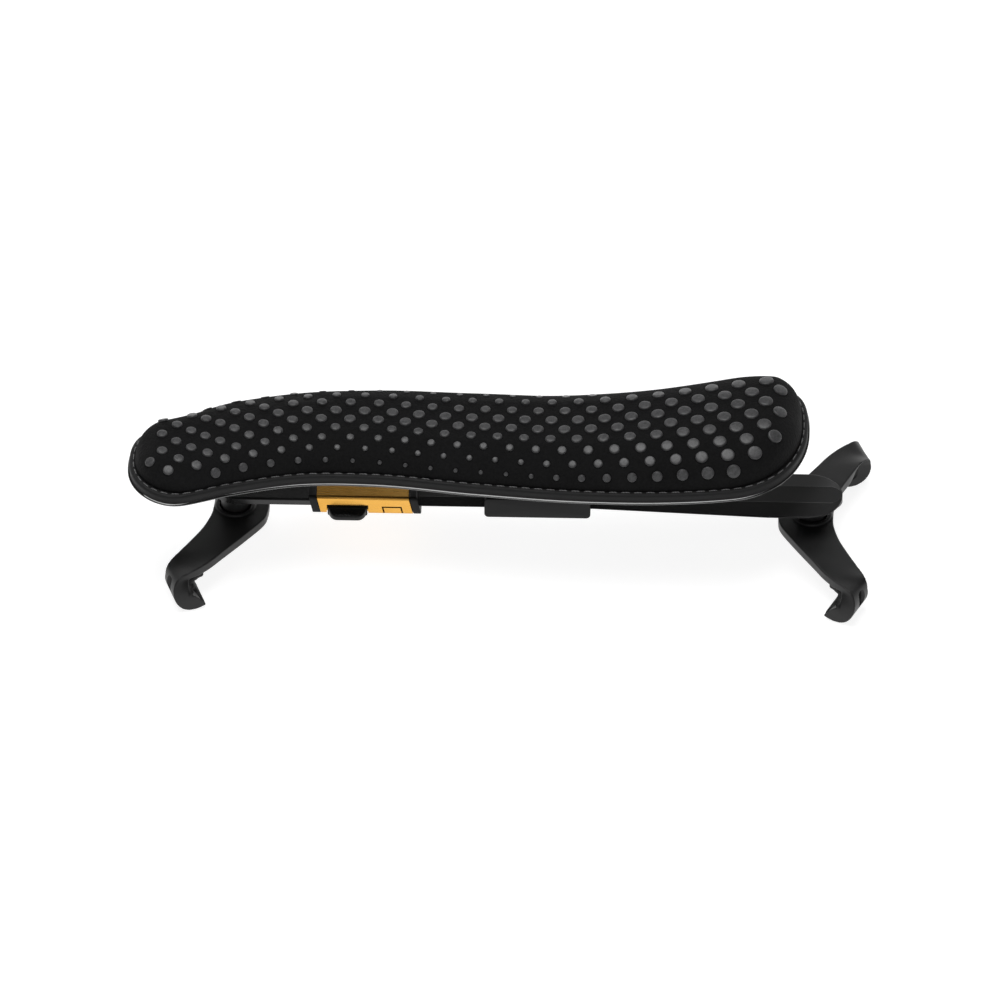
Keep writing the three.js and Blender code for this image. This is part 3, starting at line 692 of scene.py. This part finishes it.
def spline(points, per, closed=False):
    """A smooth line through the points, with per steps between each pair."""
    pts = [Vector(p) for p in points]
    count = len(pts)
    line = []
    for i in range(count if closed else count - 1):
        if closed:
            p0, p1, p2, p3 = (pts[(i + k) % count] for k in (-1, 0, 1, 2))
        else:
            p0, p1, p2, p3 = pts[max(i - 1, 0)], pts[i], pts[i + 1], pts[min(i + 2, count - 1)]
        for k in range(per):
            t = k / per
            line.append(0.5 * (2 * p1 + (p2 - p0) * t + (2 * p0 - 5 * p1 + 4 * p2 - p3) * t * t
                               + (3 * p1 - p0 - 3 * p2 + p3) * t ** 3))
    if not closed:
        line.append(pts[-1])
    return line


make_rim()
make_stitches()


def make_shell():
    """The glossy shell: a rounded rim round a thin tray with a shallow dished underside."""
    verts = [p for point in outline for p in place([inside(point, *at) for at in SHELL_PROFILE])]
    inner_top = next(i for i, at in enumerate(SHELL_PROFILE) if at[0] == SHELL_INNER)
    faces = band_faces(len(outline), len(SHELL_PROFILE), inner_top)
    tray = new_object("base_shell_skin", verts, faces, GLOSS, "frame", "shell_plastic")
    with edited(tray.data) as bm:
        open_edges = [e for e in bm.edges if len(e.link_faces) == 1]
        bmesh.ops.holes_fill(bm, edges=open_edges, sides=0)
        plates = [f for f in bm.faces if len(f.verts) > 8]
        bmesh.ops.triangulate(bm, faces=plates)
        bmesh.ops.recalc_face_normals(bm, faces=bm.faces)
    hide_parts("base_shell")


make_shell()

# Rows of dots run along the pad, and every second row is set half a pitch along.
MIDDLE_ROW = 4
DOT_HEIGHT = 0.6
REAR_DOT_HEIGHT = 0.25
ROW_RADII = (0.95, 1.32, 1.62, 1.9, 1.85, 1.55, 1.25, 0.95, 0.66)  # from the rear row to the front one
DOT_ANCHOR = -29.4  # x of a dot in the middle row
END_RADII = (1.68, 2.3)  # of the dots at the left and right ends
REAR_ROW_FROM, REAR_ROW_TO = -106, 29
ROW_DRIFT = 0.0032  # how much the front rows draw in towards the anchor


def half_pitch(x):
    """Half the distance between the dots of a row."""
    return 4.25 + 0.34 * (1 - ramp(x, -52, -34)) + 0.35 * ramp(x, 60, 80)


def row_pitch(x):
    """The distance between rows, along the crown."""
    return 4.15 + 1.35 * min(max((x + 45) / 115, 0.0), 1.0) ** 1.5


def middle_row_offset(x):
    """How far the middle row lies behind the centre line, along the crown."""
    return 0.9 - 2.2 * ramp(x, -75, -22)


def dot_radius(row, x):
    """Each row has its own radius in the middle, and all come to one radius at each end."""
    middle = ROW_RADII[row]
    right = min(max(x / 75, 0.0), 1.0) ** 0.9
    left = min(max((-55 - x) / 45, 0.0), 1.0)
    return middle + (END_RADII[1] - middle) * right + (END_RADII[0] - middle) * left


def dot_columns():
    """x of every half column, numbered from the anchor."""
    columns = {0: DOT_ANCHOR}
    for step in (1, -1):
        x, k = DOT_ANCHOR, 0
        while PAD_LEFT + 4 < x < PAD_RIGHT - 4:
            x += step * half_pitch(x)
            k += step
            columns[k] = x
    return columns


def crown_length(x):
    """The places across the crown's section at x, and their distances along it from its front foot."""
    line = np.array(crown_section(x, 150))
    return line[:, 0], distances(line)


DOT_PROFILE = [  # shares of a dot's radius and height
    (1.02, -0.3), (1.0, 0.35), (0.965, 0.66), (0.89, 0.86), (0.77, 0.96), (0.5, 1.01), (0.25, 1.03),
]
DOT_PEAK = 1.04
DOT_SIDES = 28
END_MARGIN = 2.6  # clear fabric between the end dots and the seam


def add_dot(verts, faces, point, normal, radius, rise):
    tangent = (Vector((1, 0, 0)) - normal * normal.x).normalized()
    other = normal.cross(tangent)
    first = len(verts)
    for scale, height in DOT_PROFILE:
        for c, s in circle(DOT_SIDES):
            offset = tangent * c + other * s
            verts.append(point + (offset * radius * scale + normal * rise * height) * MM)
    faces += loft_faces(len(DOT_PROFILE), DOT_SIDES, first)
    verts.append(point + normal * rise * DOT_PEAK * MM)
    last = first + (len(DOT_PROFILE) - 1) * DOT_SIDES
    faces += [(last + k, last + (k + 1) % DOT_SIDES, len(verts) - 1) for k in range(DOT_SIDES)]
    faces.append(tuple(first + k for k in reversed(range(DOT_SIDES))))


def make_dots():
    """Raised silicone dots on the crown."""
    verts, faces = [], []
    columns = dot_columns()
    clear = SEAM_INSET + END_MARGIN
    for row in range(len(ROW_RADII)):
        for k, column_x in columns.items():
            if (k + row) % 2:
                continue
            ahead = max(0, row - MIDDLE_ROW)
            x = column_x - (column_x - DOT_ANCHOR) * ROW_DRIFT * ahead ** 2
            if row == 0 and not REAR_ROW_FROM < x < REAR_ROW_TO:
                continue
            radius = dot_radius(row, x)
            if not PAD_LEFT + clear + radius < x < PAD_RIGHT - clear - radius:
                continue
            across, length = crown_length(x)
            at = np.interp(0.0, across, length) + middle_row_offset(x) + (MIDDLE_ROW - row) * row_pitch(x)
            if not END_MARGIN + radius < at < length[-1] - END_MARGIN - radius:
                continue
            point, normal = on_crown(x, float(np.interp(at, length, across)))
            if point is not None:
                add_dot(verts, faces, point, normal, radius, REAR_DOT_HEIGHT if row == 0 else DOT_HEIGHT)
    new_object("pad_dots", verts, faces, SILICONE, "frame", "pad_fabric")


make_dots()


# -------------------- forks
# A fork's own frame: millimetres, its pin at the middle and one leg towards -y; the other leg mirrors it.
CLAW_PLACE = (9.15, -28.2)
CLAW_TURN = math.radians(24)
PLATE_TOP, PLATE_UNDER = 12.05, 8.9
LEFT_TURN = math.radians(-5.5)
CUP_RADIUS, CUP_FLOOR = 5.0, 9.9
COLLAR = [  # radius and height of the boss round the pin
    (0.0, 5.5), (5.6, 5.5), (6.0, 5.7), (6.2, 6.1), (6.2, 9.0), (6.55, 10.6), (6.6, 12.0),
    (6.5, 12.4), (6.3, 12.65), (6.0, 12.75), (5.6, 12.75), (5.0, 12.6), (0.0, 12.4),
]


def claw_point(out, across, up):
    """A point of the claw: away from the middle of its mouth, towards the leg's free side, and up."""
    c, s = math.cos(CLAW_TURN), math.sin(CLAW_TURN)
    return Vector((CLAW_PLACE[0] + out * c - across * s, CLAW_PLACE[1] - out * s - across * c, up))


def station(*corners):
    """A cross-section of the leg: its top's inner and outer corners, then its underside's."""
    return tuple(Vector(corner) for corner in corners)


def plate_station(inner, outer):
    """A cross-section of the leg's flat part between its two edges."""
    return station((*inner, PLATE_TOP), (*outer, PLATE_TOP), (*inner, PLATE_UNDER), (*outer, PLATE_UNDER))


def claw_station(outer, outer_near, inner, inner_near, far, inner_far, outer_end, inner_end):
    """A cross-section of the claw: (out, up) of its outer and inner faces at the near and far ends."""
    return (claw_point(outer[0], outer_near, outer[1]), claw_point(outer_end[0], far, outer_end[1]),
            claw_point(inner[0], inner_near, inner[1]), claw_point(inner_end[0], inner_far, inner_end[1]))


LEG_STATIONS = [
    plate_station((-10.6, 2.5), (6.9, 2.5)),
    plate_station((-10.8, -1.0), (6.9, -1.5)),
    plate_station((-10.0, -6.0), (7.2, -6.0)),
    plate_station((-5.6, -14.0), (9.0, -13.0)),
    plate_station((-1.2, -21.2), (12.2, -20.5)),
    station((1.4, -25.4, 12.0), (15.0, -26.2, 12.0), (1.4, -25.4, 8.9), (13.6, -25.9, 9.3)),
    station((4.1, -29.8, 12.0), (16.6, -28.8, 11.6), (4.1, -29.8, 8.9), (13.8, -28.3, 9.3)),
    station((7.5, -34.1, 11.95), (17.7, -30.6, 10.8), (7.2, -33.8, 8.9), (13.9, -29.9, 9.3)),
    station(claw_point(7.0, 8.4, 11.6), (18.2, -31.5, 9.9),
            claw_point(4.1, 7.6, 9.4), claw_point(4.5, 0.5, 9.1)),
    station(claw_point(9.4, 9.5, 10.4), (18.5, -32.0, 8.7),
            claw_point(4.9, 8.9, 9.1), claw_point(5.1, 0.4, 8.6)),
    claw_station((10.5, 8.3), 10.5, (5.2, 8.3), 9.9, 0.0, 0.4, (10.3, 7.4), (5.5, 7.6)),
    claw_station((10.6, 6.2), 11.2, (5.2, 7.2), 10.7, 0.0, 0.4, (10.4, 5.9), (5.6, 6.1)),
    claw_station((10.1, 4.2), 11.5, (4.9, 6.1), 11.2, 0.0, 0.4, (10.0, 4.0), (5.5, 4.7)),
    claw_station((9.0, 2.3), 11.6, (4.0, 5.5), 11.5, 0.0, 0.3, (8.9, 2.2), (5.0, 3.6)),
    claw_station((7.4, 0.8), 11.6, (2.9, 4.8), 11.6, 0.1, 0.2, (7.2, 0.8), (4.0, 3.0)),
    claw_station((5.2, 0.1), 11.6, (2.0, 3.9), 11.6, 0.1, 0.1, (5.0, 0.1), (2.6, 2.6)),
    claw_station((2.6, 0.25), 11.6, (1.1, 2.8), 11.6, 0.1, 0.1, (2.6, 0.25), (1.3, 2.2)),
    claw_station((0.2, 0.95), 11.5, (0.1, 1.5), 11.5, 0.1, 0.1, (0.2, 0.95), (0.1, 1.7)),
]
STRAP_ROUND = 0.2  # radius along the strap's four edges
SLOT_MIDDLE, SLOT_HALF, SLOT_LOW, SLOT_HIGH = 4.9, 1.8, 4.2, 9.4
SLOT_SIDES = 28
SLOT_SQUARE = 0.6  # below 1, an oval with squarer corners
PLUG_GAP = 0.05


def strap_ring(corners, width_steps=7):
    """A rounded rectangle between a section's four corners."""
    near_out, far_out, near_in, far_in = corners
    width = (far_out - near_out).length
    thick = (near_in - near_out).length
    rs, rt = min(0.3, STRAP_ROUND / width), min(0.42, STRAP_ROUND / thick)

    def at(s, t):
        return near_out.lerp(far_out, s).lerp(near_in.lerp(far_in, s), t)

    ring = []
    corner_turns = [i / 3 * math.pi / 2 for i in range(4)]
    spans = [rs + (1 - 2 * rs) * k / width_steps for k in range(1, width_steps)]
    ring += [at(rs - rs * math.sin(a), rt - rt * math.cos(a)) for a in reversed(corner_turns)]
    ring += [at(s, 0) for s in spans]
    ring += [at(1 - rs + rs * math.sin(a), rt - rt * math.cos(a)) for a in corner_turns]
    ring += [at(1, 0.5)]
    ring += [at(1 - rs + rs * math.cos(a), 1 - rt + rt * math.sin(a)) for a in corner_turns]
    ring += [at(s, 1) for s in reversed(spans)]
    ring += [at(rs - rs * math.sin(a), 1 - rt + rt * math.cos(a)) for a in corner_turns]
    ring += [at(0, 0.5)]
    return ring


def smooth_stations(stations, per):
    columns = [spline([station[k] for station in stations], per) for k in range(4)]
    return list(zip(*columns))


def strap():
    """One leg and its claw, swept as a bent strap."""
    return loft([strap_ring(corners) for corners in smooth_stations(LEG_STATIONS, 6)])


def lathe(profile, sides=72):
    """Vertices and faces of a turned body; the profile's ends lie on the axis."""
    verts, faces = [], []
    for radius, up in profile[1:-1]:
        verts += [Vector((radius * c, radius * s, up)) for c, s in circle(sides)]
    count = len(profile) - 2
    faces += loft_faces(count, sides)
    for (radius, up), ring in ((profile[0], 0), (profile[-1], count - 1)):
        verts.append(Vector((0, 0, up)))
        faces += [(ring * sides + k, ring * sides + (k + 1) % sides, len(verts) - 1) for k in range(sides)]
    return verts, faces


def scratch(name, *bodies):
    """A temporary object of one or more closed bodies, in millimetres."""
    mesh = bpy.data.meshes.new(name)
    verts, faces = [], []
    for body_verts, body_faces in bodies:
        first = len(verts)
        verts += [tuple(v) for v in body_verts]
        faces += [tuple(first + i for i in face) for face in body_faces]
    mesh.from_pydata(verts, [], faces)
    with edited(mesh) as bm:
        bmesh.ops.recalc_face_normals(bm, faces=bm.faces)
    return add_object(name, mesh)


def remove(piece):
    mesh = piece.data
    bpy.data.objects.remove(piece)
    bpy.data.meshes.remove(mesh)


def subtract(piece, tool):
    boolean = piece.modifiers.new("cut", "BOOLEAN")
    boolean.operation = "DIFFERENCE"
    boolean.solver = "EXACT"
    boolean.object = tool
    apply_modifiers(piece)
    remove(tool)


def mirrored_y(body):
    verts, faces = body
    return [Vector((v.x, -v.y, v.z)) for v in verts], [tuple(reversed(face)) for face in faces]


def slot_ring(out, scale, gap=0.0):
    """The upright rounded slot's outline, this far out in the claw."""
    half, centre, height = SLOT_HALF - gap, (SLOT_LOW + SLOT_HIGH) / 2, (SLOT_HIGH - SLOT_LOW) / 2 - gap
    ring = []
    for c, s in circle(SLOT_SIDES):
        across = half * scale * math.copysign(abs(c) ** SLOT_SQUARE, c)
        up = height * scale * math.copysign(abs(s) ** SLOT_SQUARE, s)
        ring.append(claw_point(out, SLOT_MIDDLE + across, centre + up))
    return ring


def slot_cutter():
    """The slot through the claw's outer face, which flares at its mouth."""
    return loft([slot_ring(3.0, 1.0), slot_ring(8.6, 1.0), slot_ring(11.5, 1.25)])


FORK_VOXEL = 0.25


def make_fork_mesh():
    """Both legs and the boss in one skin, with its edges softened, then the cup and slots cut."""
    leg = strap()
    fork = scratch("fork_form", leg, mirrored_y(leg), lathe(COLLAR))
    skin = fork.modifiers.new("skin", "REMESH")
    skin.mode = "VOXEL"
    skin.voxel_size = FORK_VOXEL
    soften = fork.modifiers.new("soften", "SMOOTH")
    soften.factor = 0.5
    soften.iterations = 2
    apply_modifiers(fork)
    cup = [(0, CUP_FLOOR), (CUP_RADIUS - 0.3, CUP_FLOOR), (CUP_RADIUS, CUP_FLOOR + 0.3), (CUP_RADIUS, 12.2),
           (CUP_RADIUS + 0.25, 12.75), (CUP_RADIUS + 0.4, 13.5), (0, 13.5)]
    hole = [(0, 4.0), (4.2, 4.0), (4.2, 7.3), (2.08, 7.3), (2.08, 11.0), (0, 11.0)]
    for tool in (lathe(cup), lathe(hole), slot_cutter(), mirrored_y(slot_cutter())):
        subtract(fork, scratch("cutter", tool))
    return fork


RIB_DEPTH = 0.45
RIB_PITCH = 1.15  # in points of the lining's outline
LINING_STEPS = 8
LINING_OUTER = [  # (out, up) of the face against the claw
    (-1.1, 9.35), (4.0, 9.3), (5.1, 8.7), (5.6, 7.6), (5.7, 6.1), (5.6, 4.6), (5.1, 3.5), (4.0, 2.9),
    (0.7, 2.0),
]
LINING_INNER = [  # and of the ribbed face round the mouth
    (-1.1, 7.85), (0.6, 7.8), (2.6, 7.7), (3.9, 7.3), (4.4, 6.5), (4.45, 5.4), (4.0, 4.2), (2.9, 3.6),
    (0.7, 2.9),
]
LINING_NEAR, LINING_FAR = 11.35, 0.45  # its two edges, across the claw
LINING_UPPER_EDGE = [(-8.7, 0.1), (-3.96, 3.4), (1.0, 6.0), (4.0, 7.5), (5.0, 8.8), (5.6, 10.4)]
UPPER_FROM, UPPER_FULL = 6.2, 8.3  # heights between which the near edge comes to the upper one


def lining_near(p):
    """How far across the lining's near edge lies at a point of its section: under the leg it slants."""
    if p.y <= UPPER_FROM:
        return LINING_NEAR
    outs, edges = zip(*LINING_UPPER_EDGE)
    near = float(np.interp(p.x, outs, edges)) - 0.15
    if p.x > 3:
        near += (LINING_NEAR - near) * (1 - ramp(p.y, UPPER_FROM, UPPER_FULL))
    return near


def make_grip_body():
    """The rubber lining of one claw, ribbed along the mouth."""
    outer = spline([Vector((*p, 0)) for p in LINING_OUTER], LINING_STEPS)
    inner = spline([Vector((*p, 0)) for p in LINING_INNER], LINING_STEPS)
    rings = []
    for i, (o, n) in enumerate(zip(outer, inner)):
        rib = RIB_DEPTH * abs(math.sin(math.pi * i / (LINING_STEPS * RIB_PITCH))) ** 3
        n = n + (n - o).normalized() * rib
        section = [n, n.lerp(o, 0.25), o]
        ring = [claw_point(p.x, lining_near(p), p.y) for p in section]
        ring += [claw_point(p.x, LINING_FAR, p.y) for p in reversed(section)]
        rings.append(ring)
    return loft(rings)


def make_grip_plug():
    """The block of rubber that fills the claw's slot, rounded at its outer end."""
    ends = ((4.9, 1.0), (8.4, 1.0), (8.8, 0.9), (8.95, 0.6))
    return loft([slot_ring(out, scale, PLUG_GAP) for out, scale in ends])


def settle(piece, name, pivot, turn, material, body, replaced):
    """Put a copy of a scratch object into the row frame, as a piece."""
    mesh = piece.data.copy()
    mesh.name = name
    mesh.transform(Matrix.Translation(pivot) @ Matrix.Rotation(turn, 4, "Z") @ Matrix.Scale(MM, 4))
    mesh.materials.clear()
    mesh.materials.append(material)
    shade_smooth(mesh)
    settled = add_object(name, mesh)
    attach(settled, body)
    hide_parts(replaced)
    return settled


def make_forks():
    fork = make_fork_mesh()
    grip, plug = make_grip_body(), make_grip_plug()
    front = scratch("front_grip_form", grip, plug)
    rear = scratch("rear_grip_form", mirrored_y(grip), mirrored_y(plug))
    sides = (("right", RIGHT_PIVOT, 0.0), ("left", LEFT_PIVOT, math.pi + LEFT_TURN))
    for side, pivot, turn in sides:
        foot = Vector((pivot.x, pivot.y, 0))
        body = f"{side}_fork"
        settle(fork, f"{side}_fork_skin", foot, turn, FORK_PLASTIC, body, f"{side}_fork")
        ends = (("front", front), ("rear", rear)) if side == "right" else (("rear", front), ("front", rear))
        for end, form in ends:
            settle(form, f"{side}_{end}_lining", foot, turn, RUBBER, body, f"{side}_{end}_grip")
    for piece in (fork, front, rear):
        remove(piece)


make_forks()


# -------------------- bar
ARM_HALF, ARM_TOP, ARM_UNDER, ARM_RIDGE, ARM_DROP = 8.1, 20.0, 17.4, 4.2, 0.5
PADDLE_FROM, PADDLE_FULL, PADDLE_HALF, PADDLE_TIP = 22.0, 78.0, 11.3, 102.2
ARM_START = -34.0  # behind the sleeve's flange


def arm_half(x):
    """The arm widens into its paddle, which ends in a half circle."""
    t = min(max((x - PADDLE_FROM) / (PADDLE_FULL - PADDLE_FROM), 0.0), 1.0)
    half = ARM_HALF + (PADDLE_HALF - ARM_HALF) * t
    past = max(0.0, x - (PADDLE_TIP - PADDLE_HALF)) / PADDLE_HALF
    return half * math.sqrt(max(0.0004, 1 - past * past))


def arm_section(x):
    """Three flat bands on top, narrow rounded edges and a belly that slopes in underneath."""
    half = arm_half(x)
    fill = min(1.0, half / ARM_HALF)
    ridge, flank = ARM_RIDGE * fill, ARM_TOP - ARM_DROP * fill
    belly = max(half - 2.4, half * 0.6)
    side = [(ridge - 0.14 * fill, ARM_TOP - 0.03), (ridge, ARM_TOP), (ridge + 0.14 * fill, ARM_TOP - 0.05),
            (half - 0.3 * fill, flank + 0.02), (half - 0.08 * fill, flank - 0.06), (half, flank - 0.2),
            (half, flank - 0.45), (belly, ARM_UNDER)]
    both = side + [(-y, z) for y, z in reversed(side)]
    return place((x, y, z) for y, z in both)


def make_arm():
    """The arm outside the sleeve, up to the round tip of its paddle."""
    tip = PADDLE_TIP - PADDLE_HALF
    xs = list(np.linspace(ARM_START, tip, 60))
    xs += [PADDLE_TIP - PADDLE_HALF * (1 - math.sin(i / 28 * math.pi / 2)) for i in range(1, 29)]
    rings = [arm_section(x) for x in xs]
    piece = new_object("right_arm_skin", *loft(rings), ARM_PLASTIC, "frame", "black_plastic", sharp=4)
    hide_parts("right_arm")


RAIL_HALF, RAIL_TOP, RAIL_UNDER, RAIL_INNER, RAIL_SHOULDER, TONGUE_REAR = 6.6, 19.8, 17.4, -50.0, -80.0, 2.0
RAIL_PIVOT = -(RIGHT_PIVOT.x - LEFT_PIVOT.x) / 2 / MM


def rail_section(x, rear):
    """Flat, with a narrow sloping edge along the front and rear of its top."""
    past = min(1.0, max(0.0, RAIL_PIVOT - x) / RAIL_HALF)
    fill = math.sqrt(max(0.0004, 1 - past * past))
    front, rear = RAIL_HALF * fill, min(rear, RAIL_HALF) * fill
    edge = min(0.75, front * 0.4, rear * 0.4)
    top = [(edge, 0.0), (edge * 0.85, 0.03), (edge * 0.16, 0.36), (0.0, 0.5)]
    low = [(0.0, 2.2), (edge * 0.3, RAIL_TOP - RAIL_UNDER)]
    line = [(-front + a, RAIL_TOP - d) for a, d in top + low]
    line += [(rear - a, RAIL_TOP - d) for a, d in reversed(top + low)]
    return place((x, y, z) for y, z in line)


def make_rail():
    """The left rail and its tongue, which runs inside the sleeve."""
    rings = []
    for i in range(25):
        rings.append(rail_section(RAIL_PIVOT - RAIL_HALF * math.cos(i / 24 * math.pi / 2), RAIL_HALF))
    rings += [rail_section(RAIL_SHOULDER - 0.02, RAIL_HALF), rail_section(RAIL_SHOULDER, TONGUE_REAR),
              rail_section(RAIL_INNER, TONGUE_REAR)]
    piece = new_object("left_rail_skin", *loft(rings), RAIL_PLASTIC, "left_rail", "black_plastic", sharp=12)
    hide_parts("left_rail")


SLEEVE_TO, SLEEVE_HALF, SLEEVE_LOW, SLEEVE_HIGH = -36.7, 8.4, 15.5, 22.2
END_SLANT = math.tan(math.radians(12.5))
GUIDE_FROM, GUIDE_HALF = -64.0, 6.7


def rounded_rectangle(x0, x1, y0, y1, radius, per=6):
    points = []
    for cx, cy, start in ((x1 - radius, y0 + radius, -90), (x1 - radius, y1 - radius, 0),
                          (x0 + radius, y1 - radius, 90), (x0 + radius, y0 + radius, 180)):
        for k in range(per + 1):
            a = math.radians(start + 90 * k / per)
            points.append((cx + radius * math.cos(a), cy + radius * math.sin(a)))
    return points


def block_rings(start, end, low, high, radius, edge=0.35):
    """Each section of a block with rounded edges, and where along the block it lies."""
    for at, shrink in ((start, edge), (start + edge * 0.3, edge * 0.3), (start + edge, 0.0),
                       (end - edge, 0.0), (end - edge * 0.3, edge * 0.3), (end, edge)):
        yield at, rounded_rectangle(low[0] + shrink, high[0] - shrink, low[1] + shrink, high[1] - shrink,
                                    radius - shrink / 2)


def leaning_block(x0, x1, half, low, high, radius):
    """A block whose ends lean like the sleeve's."""
    return loft([place((x + END_SLANT * (SLEEVE_HIGH - z), y, z) for y, z in section)
                 for x, section in block_rings(x0, x1, (-half, low), (half, high), radius)])


def make_flange():
    """The arm's flange at the sleeve's right end, with the guide that fills the sleeve."""
    flange = leaning_block(SLEEVE_TO + 0.15, SLEEVE_TO + 2.7, SLEEVE_HALF, SLEEVE_LOW, SLEEVE_HIGH, 1.3)
    new_object("arm_flange", *flange, SATIN, "frame", "black_plastic")
    guide = leaning_block(GUIDE_FROM, SLEEVE_TO + 1, GUIDE_HALF, SLEEVE_LOW + 1.0, SLEEVE_HIGH - 1.0, 0.6)
    new_object("arm_guide", *guide, SATIN, "frame", "black_plastic", smooth=False)


LOCK_X = -56.2
BUTTON_STATIONS = [  # y, half-width, height of the top, height of the underside
    (-8.25, 6.35, 18.85, 15.65), (-8.8, 6.4, 18.75, 15.6), (-9.15, 6.3, 18.55, 15.6),
    (-9.3, 5.95, 18.45, 15.6), (-10.0, 5.75, 18.1, 15.6), (-10.8, 5.3, 17.7, 15.6),
    (-11.4, 4.75, 17.45, 15.6), (-11.75, 4.2, 17.2, 15.65), (-11.93, 3.7, 17.05, 15.75),
    (-12.0, 3.2, 16.85, 15.95),
]


def make_button():
    """The part of the lock button that stands out of the sleeve."""
    rings = []
    for y, half, top, low in BUTTON_STATIONS:
        section = rounded_rectangle(LOCK_X - half, LOCK_X + half, low, top, min(0.5, (top - low) / 3), 4)
        rings.append(place((x, y, z) for x, z in section))
    piece = new_object("lock_button_skin", *loft(rings), BUTTON_PLASTIC, "lock_button", "black_plastic",
                       sharp=50)
    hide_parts("lock_button")


SADDLE_FROM, SADDLE_TO, SADDLE_HALF = -12.4, 21.6, 9.0
SADDLE_LOW, SADDLE_HIGH, SADDLE_CORNER = 15.6, 22.9, 1.3
SADDLE_SCREWS_X = (-2.0, 10.4)
WELL_RADIUS, WELL_DEPTH = 2.7, 1.1


def make_saddle():
    """The saddle's block round the arm, one flush face in front, with the two screws' wells underneath."""
    rings = block_rings(-SADDLE_HALF, SADDLE_HALF, (SADDLE_FROM, SADDLE_LOW), (SADDLE_TO, SADDLE_HIGH),
                        SADDLE_CORNER)
    block = scratch("saddle_form", loft([[Vector((x, y, z)) for x, z in section] for y, section in rings]))
    for x in SADDLE_SCREWS_X:
        below, roof = SADDLE_LOW - 1, SADDLE_LOW + WELL_DEPTH
        verts, faces = lathe([(0, below), (WELL_RADIUS, below), (WELL_RADIUS, roof), (0, roof)])
        subtract(block, scratch("well", ([v + Vector((x, 0, 0)) for v in verts], faces)))
    piece = settle(block, "saddle_skin", ORIGIN, 0.0, SATIN, "frame", "saddle_block")
    remove(block)
    piece.data.set_sharp_from_angle(angle=math.radians(35))


make_arm()
make_rail()
make_flange()
make_button()
make_saddle()


# -------------------- carried nodes
BEVELLED = {  # node: its piece's name, material, slot and the radius of its edges
    "slider_sleeve": ("sleeve_skin", GOLD, "gold_anodised", 0.12),
    "sleeve_end_cap": ("end_cap_skin", SATIN, "black_plastic", 0.3),
    "pad_riser": ("riser_skin", SATIN, "black_plastic", 0.3),
    "left_post": ("left_post_skin", FORK_PLASTIC, "black_plastic", 0.2),
    "right_post": ("right_post_skin", FORK_PLASTIC, "black_plastic", 0.2),
}


def make_spring():
    """The button's return spring, a copy of its node with a mesh of its own, carried by the frame."""
    spring = copy_node("lock_spring", "lock_spring_coil", STEEL)
    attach(spring, "frame")
    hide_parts("lock_spring")
    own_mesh(spring)


def finish_nodes():
    """Bevelled skins over some nodes, and materials on the nodes that show as they are."""
    for node, (name, material, slot, width) in BEVELLED.items():
        bevelled(node, name, material, width)
    materials = {"lock_bridge": SATIN, "right_friction_washer": NYLON, "left_friction_washer": NYLON}
    steel = ("saddle_screw_1", "saddle_screw_2", "shell_screw_1", "shell_screw_2", "rail_stop_pin",
             "right_height_screw", "left_height_screw")
    materials.update({node: STEEL for node in steel})
    for node, material in materials.items():
        mesh = frame["nodes"][node].data
        mesh.materials.clear()
        mesh.materials.append(material)


finish_nodes()
make_spring()


# -------------------- stage
FLOOR_HALF = 3.0
FLOOR_GLOW = 0.86
FLOOR_GAP = 0.0002  # metres under the claws
WALL_LIGHT, CEILING_LIGHT = 1.0, 0.06
WALL_TOP, CEILING_FROM = 0.12, 0.42


def add_floor():
    """A wide pale floor that glows a little, as a lit studio floor does."""
    corners = [(-FLOOR_HALF, -FLOOR_HALF, 0), (FLOOR_HALF, -FLOOR_HALF, 0), (FLOOR_HALF, FLOOR_HALF, 0),
               (-FLOOR_HALF, FLOOR_HALF, 0)]
    mesh = bpy.data.meshes.new("floor")
    mesh.from_pydata(corners, [], [(0, 1, 2, 3)])
    floor = add_object("floor", mesh)
    floor.location.z = cad_low.z - FLOOR_GAP
    n = Nodes("pale_floor")
    n.shade(Base_Color=n.blend(n.noise(6.0), grey(0.35), grey(0.37)), Roughness=0.9,
            Specular_IOR_Level=0.1, Emission_Color=(1, 1, 1, 1), Emission_Strength=FLOOR_GLOW)
    mesh.materials.append(n.material)


def add_light(name, position, size, power, size_y=None):
    """A soft light that faces the middle of the bar's underside."""
    data = bpy.data.lights.new(name, "AREA")
    data.shape = "RECTANGLE"
    data.size = size
    data.size_y = size_y or size
    data.energy = power
    light = add_object(name, data)
    light.location = position
    light.visible_camera = False
    light.rotation_euler = (-Vector(position)).to_track_quat("-Z", "Y").to_euler()


def add_world():
    """A studio whose walls are white near the floor and fall off to a dim ceiling."""
    world = bpy.data.worlds.new("studio")
    world.use_nodes = True
    tree = world.node_tree
    place_node = tree.nodes.new("ShaderNodeTexCoord")
    split = tree.nodes.new("ShaderNodeSeparateXYZ")
    fade = tree.nodes.new("ShaderNodeMapRange")
    fade.interpolation_type = "SMOOTHSTEP"
    tree.links.new(place_node.outputs["Generated"], split.inputs[0])
    tree.links.new(split.outputs["Z"], fade.inputs["Value"])
    for key, value in (("From Min", WALL_TOP), ("From Max", CEILING_FROM),
                       ("To Min", WALL_LIGHT), ("To Max", CEILING_LIGHT)):
        fade.inputs[key].default_value = value
    background = tree.nodes["Background"]
    background.inputs["Color"].default_value = (1, 1, 1, 1)
    tree.links.new(fade.outputs["Result"], background.inputs["Strength"])
    bpy.context.scene.world = world


def add_lights():
    add_light("overhead", (-0.15, 0.15, 1.4), 1.1, 16.0)
    add_light("front_top", (0.1, -1.1, 1.0), 1.0, 1.5)
    add_light("rear_strip", (0.0, 1.6, 0.42), 2.4, 4.5, 0.35)
    bpy.context.scene.view_settings.view_transform = "Standard"


add_floor()
add_world()
add_lights()
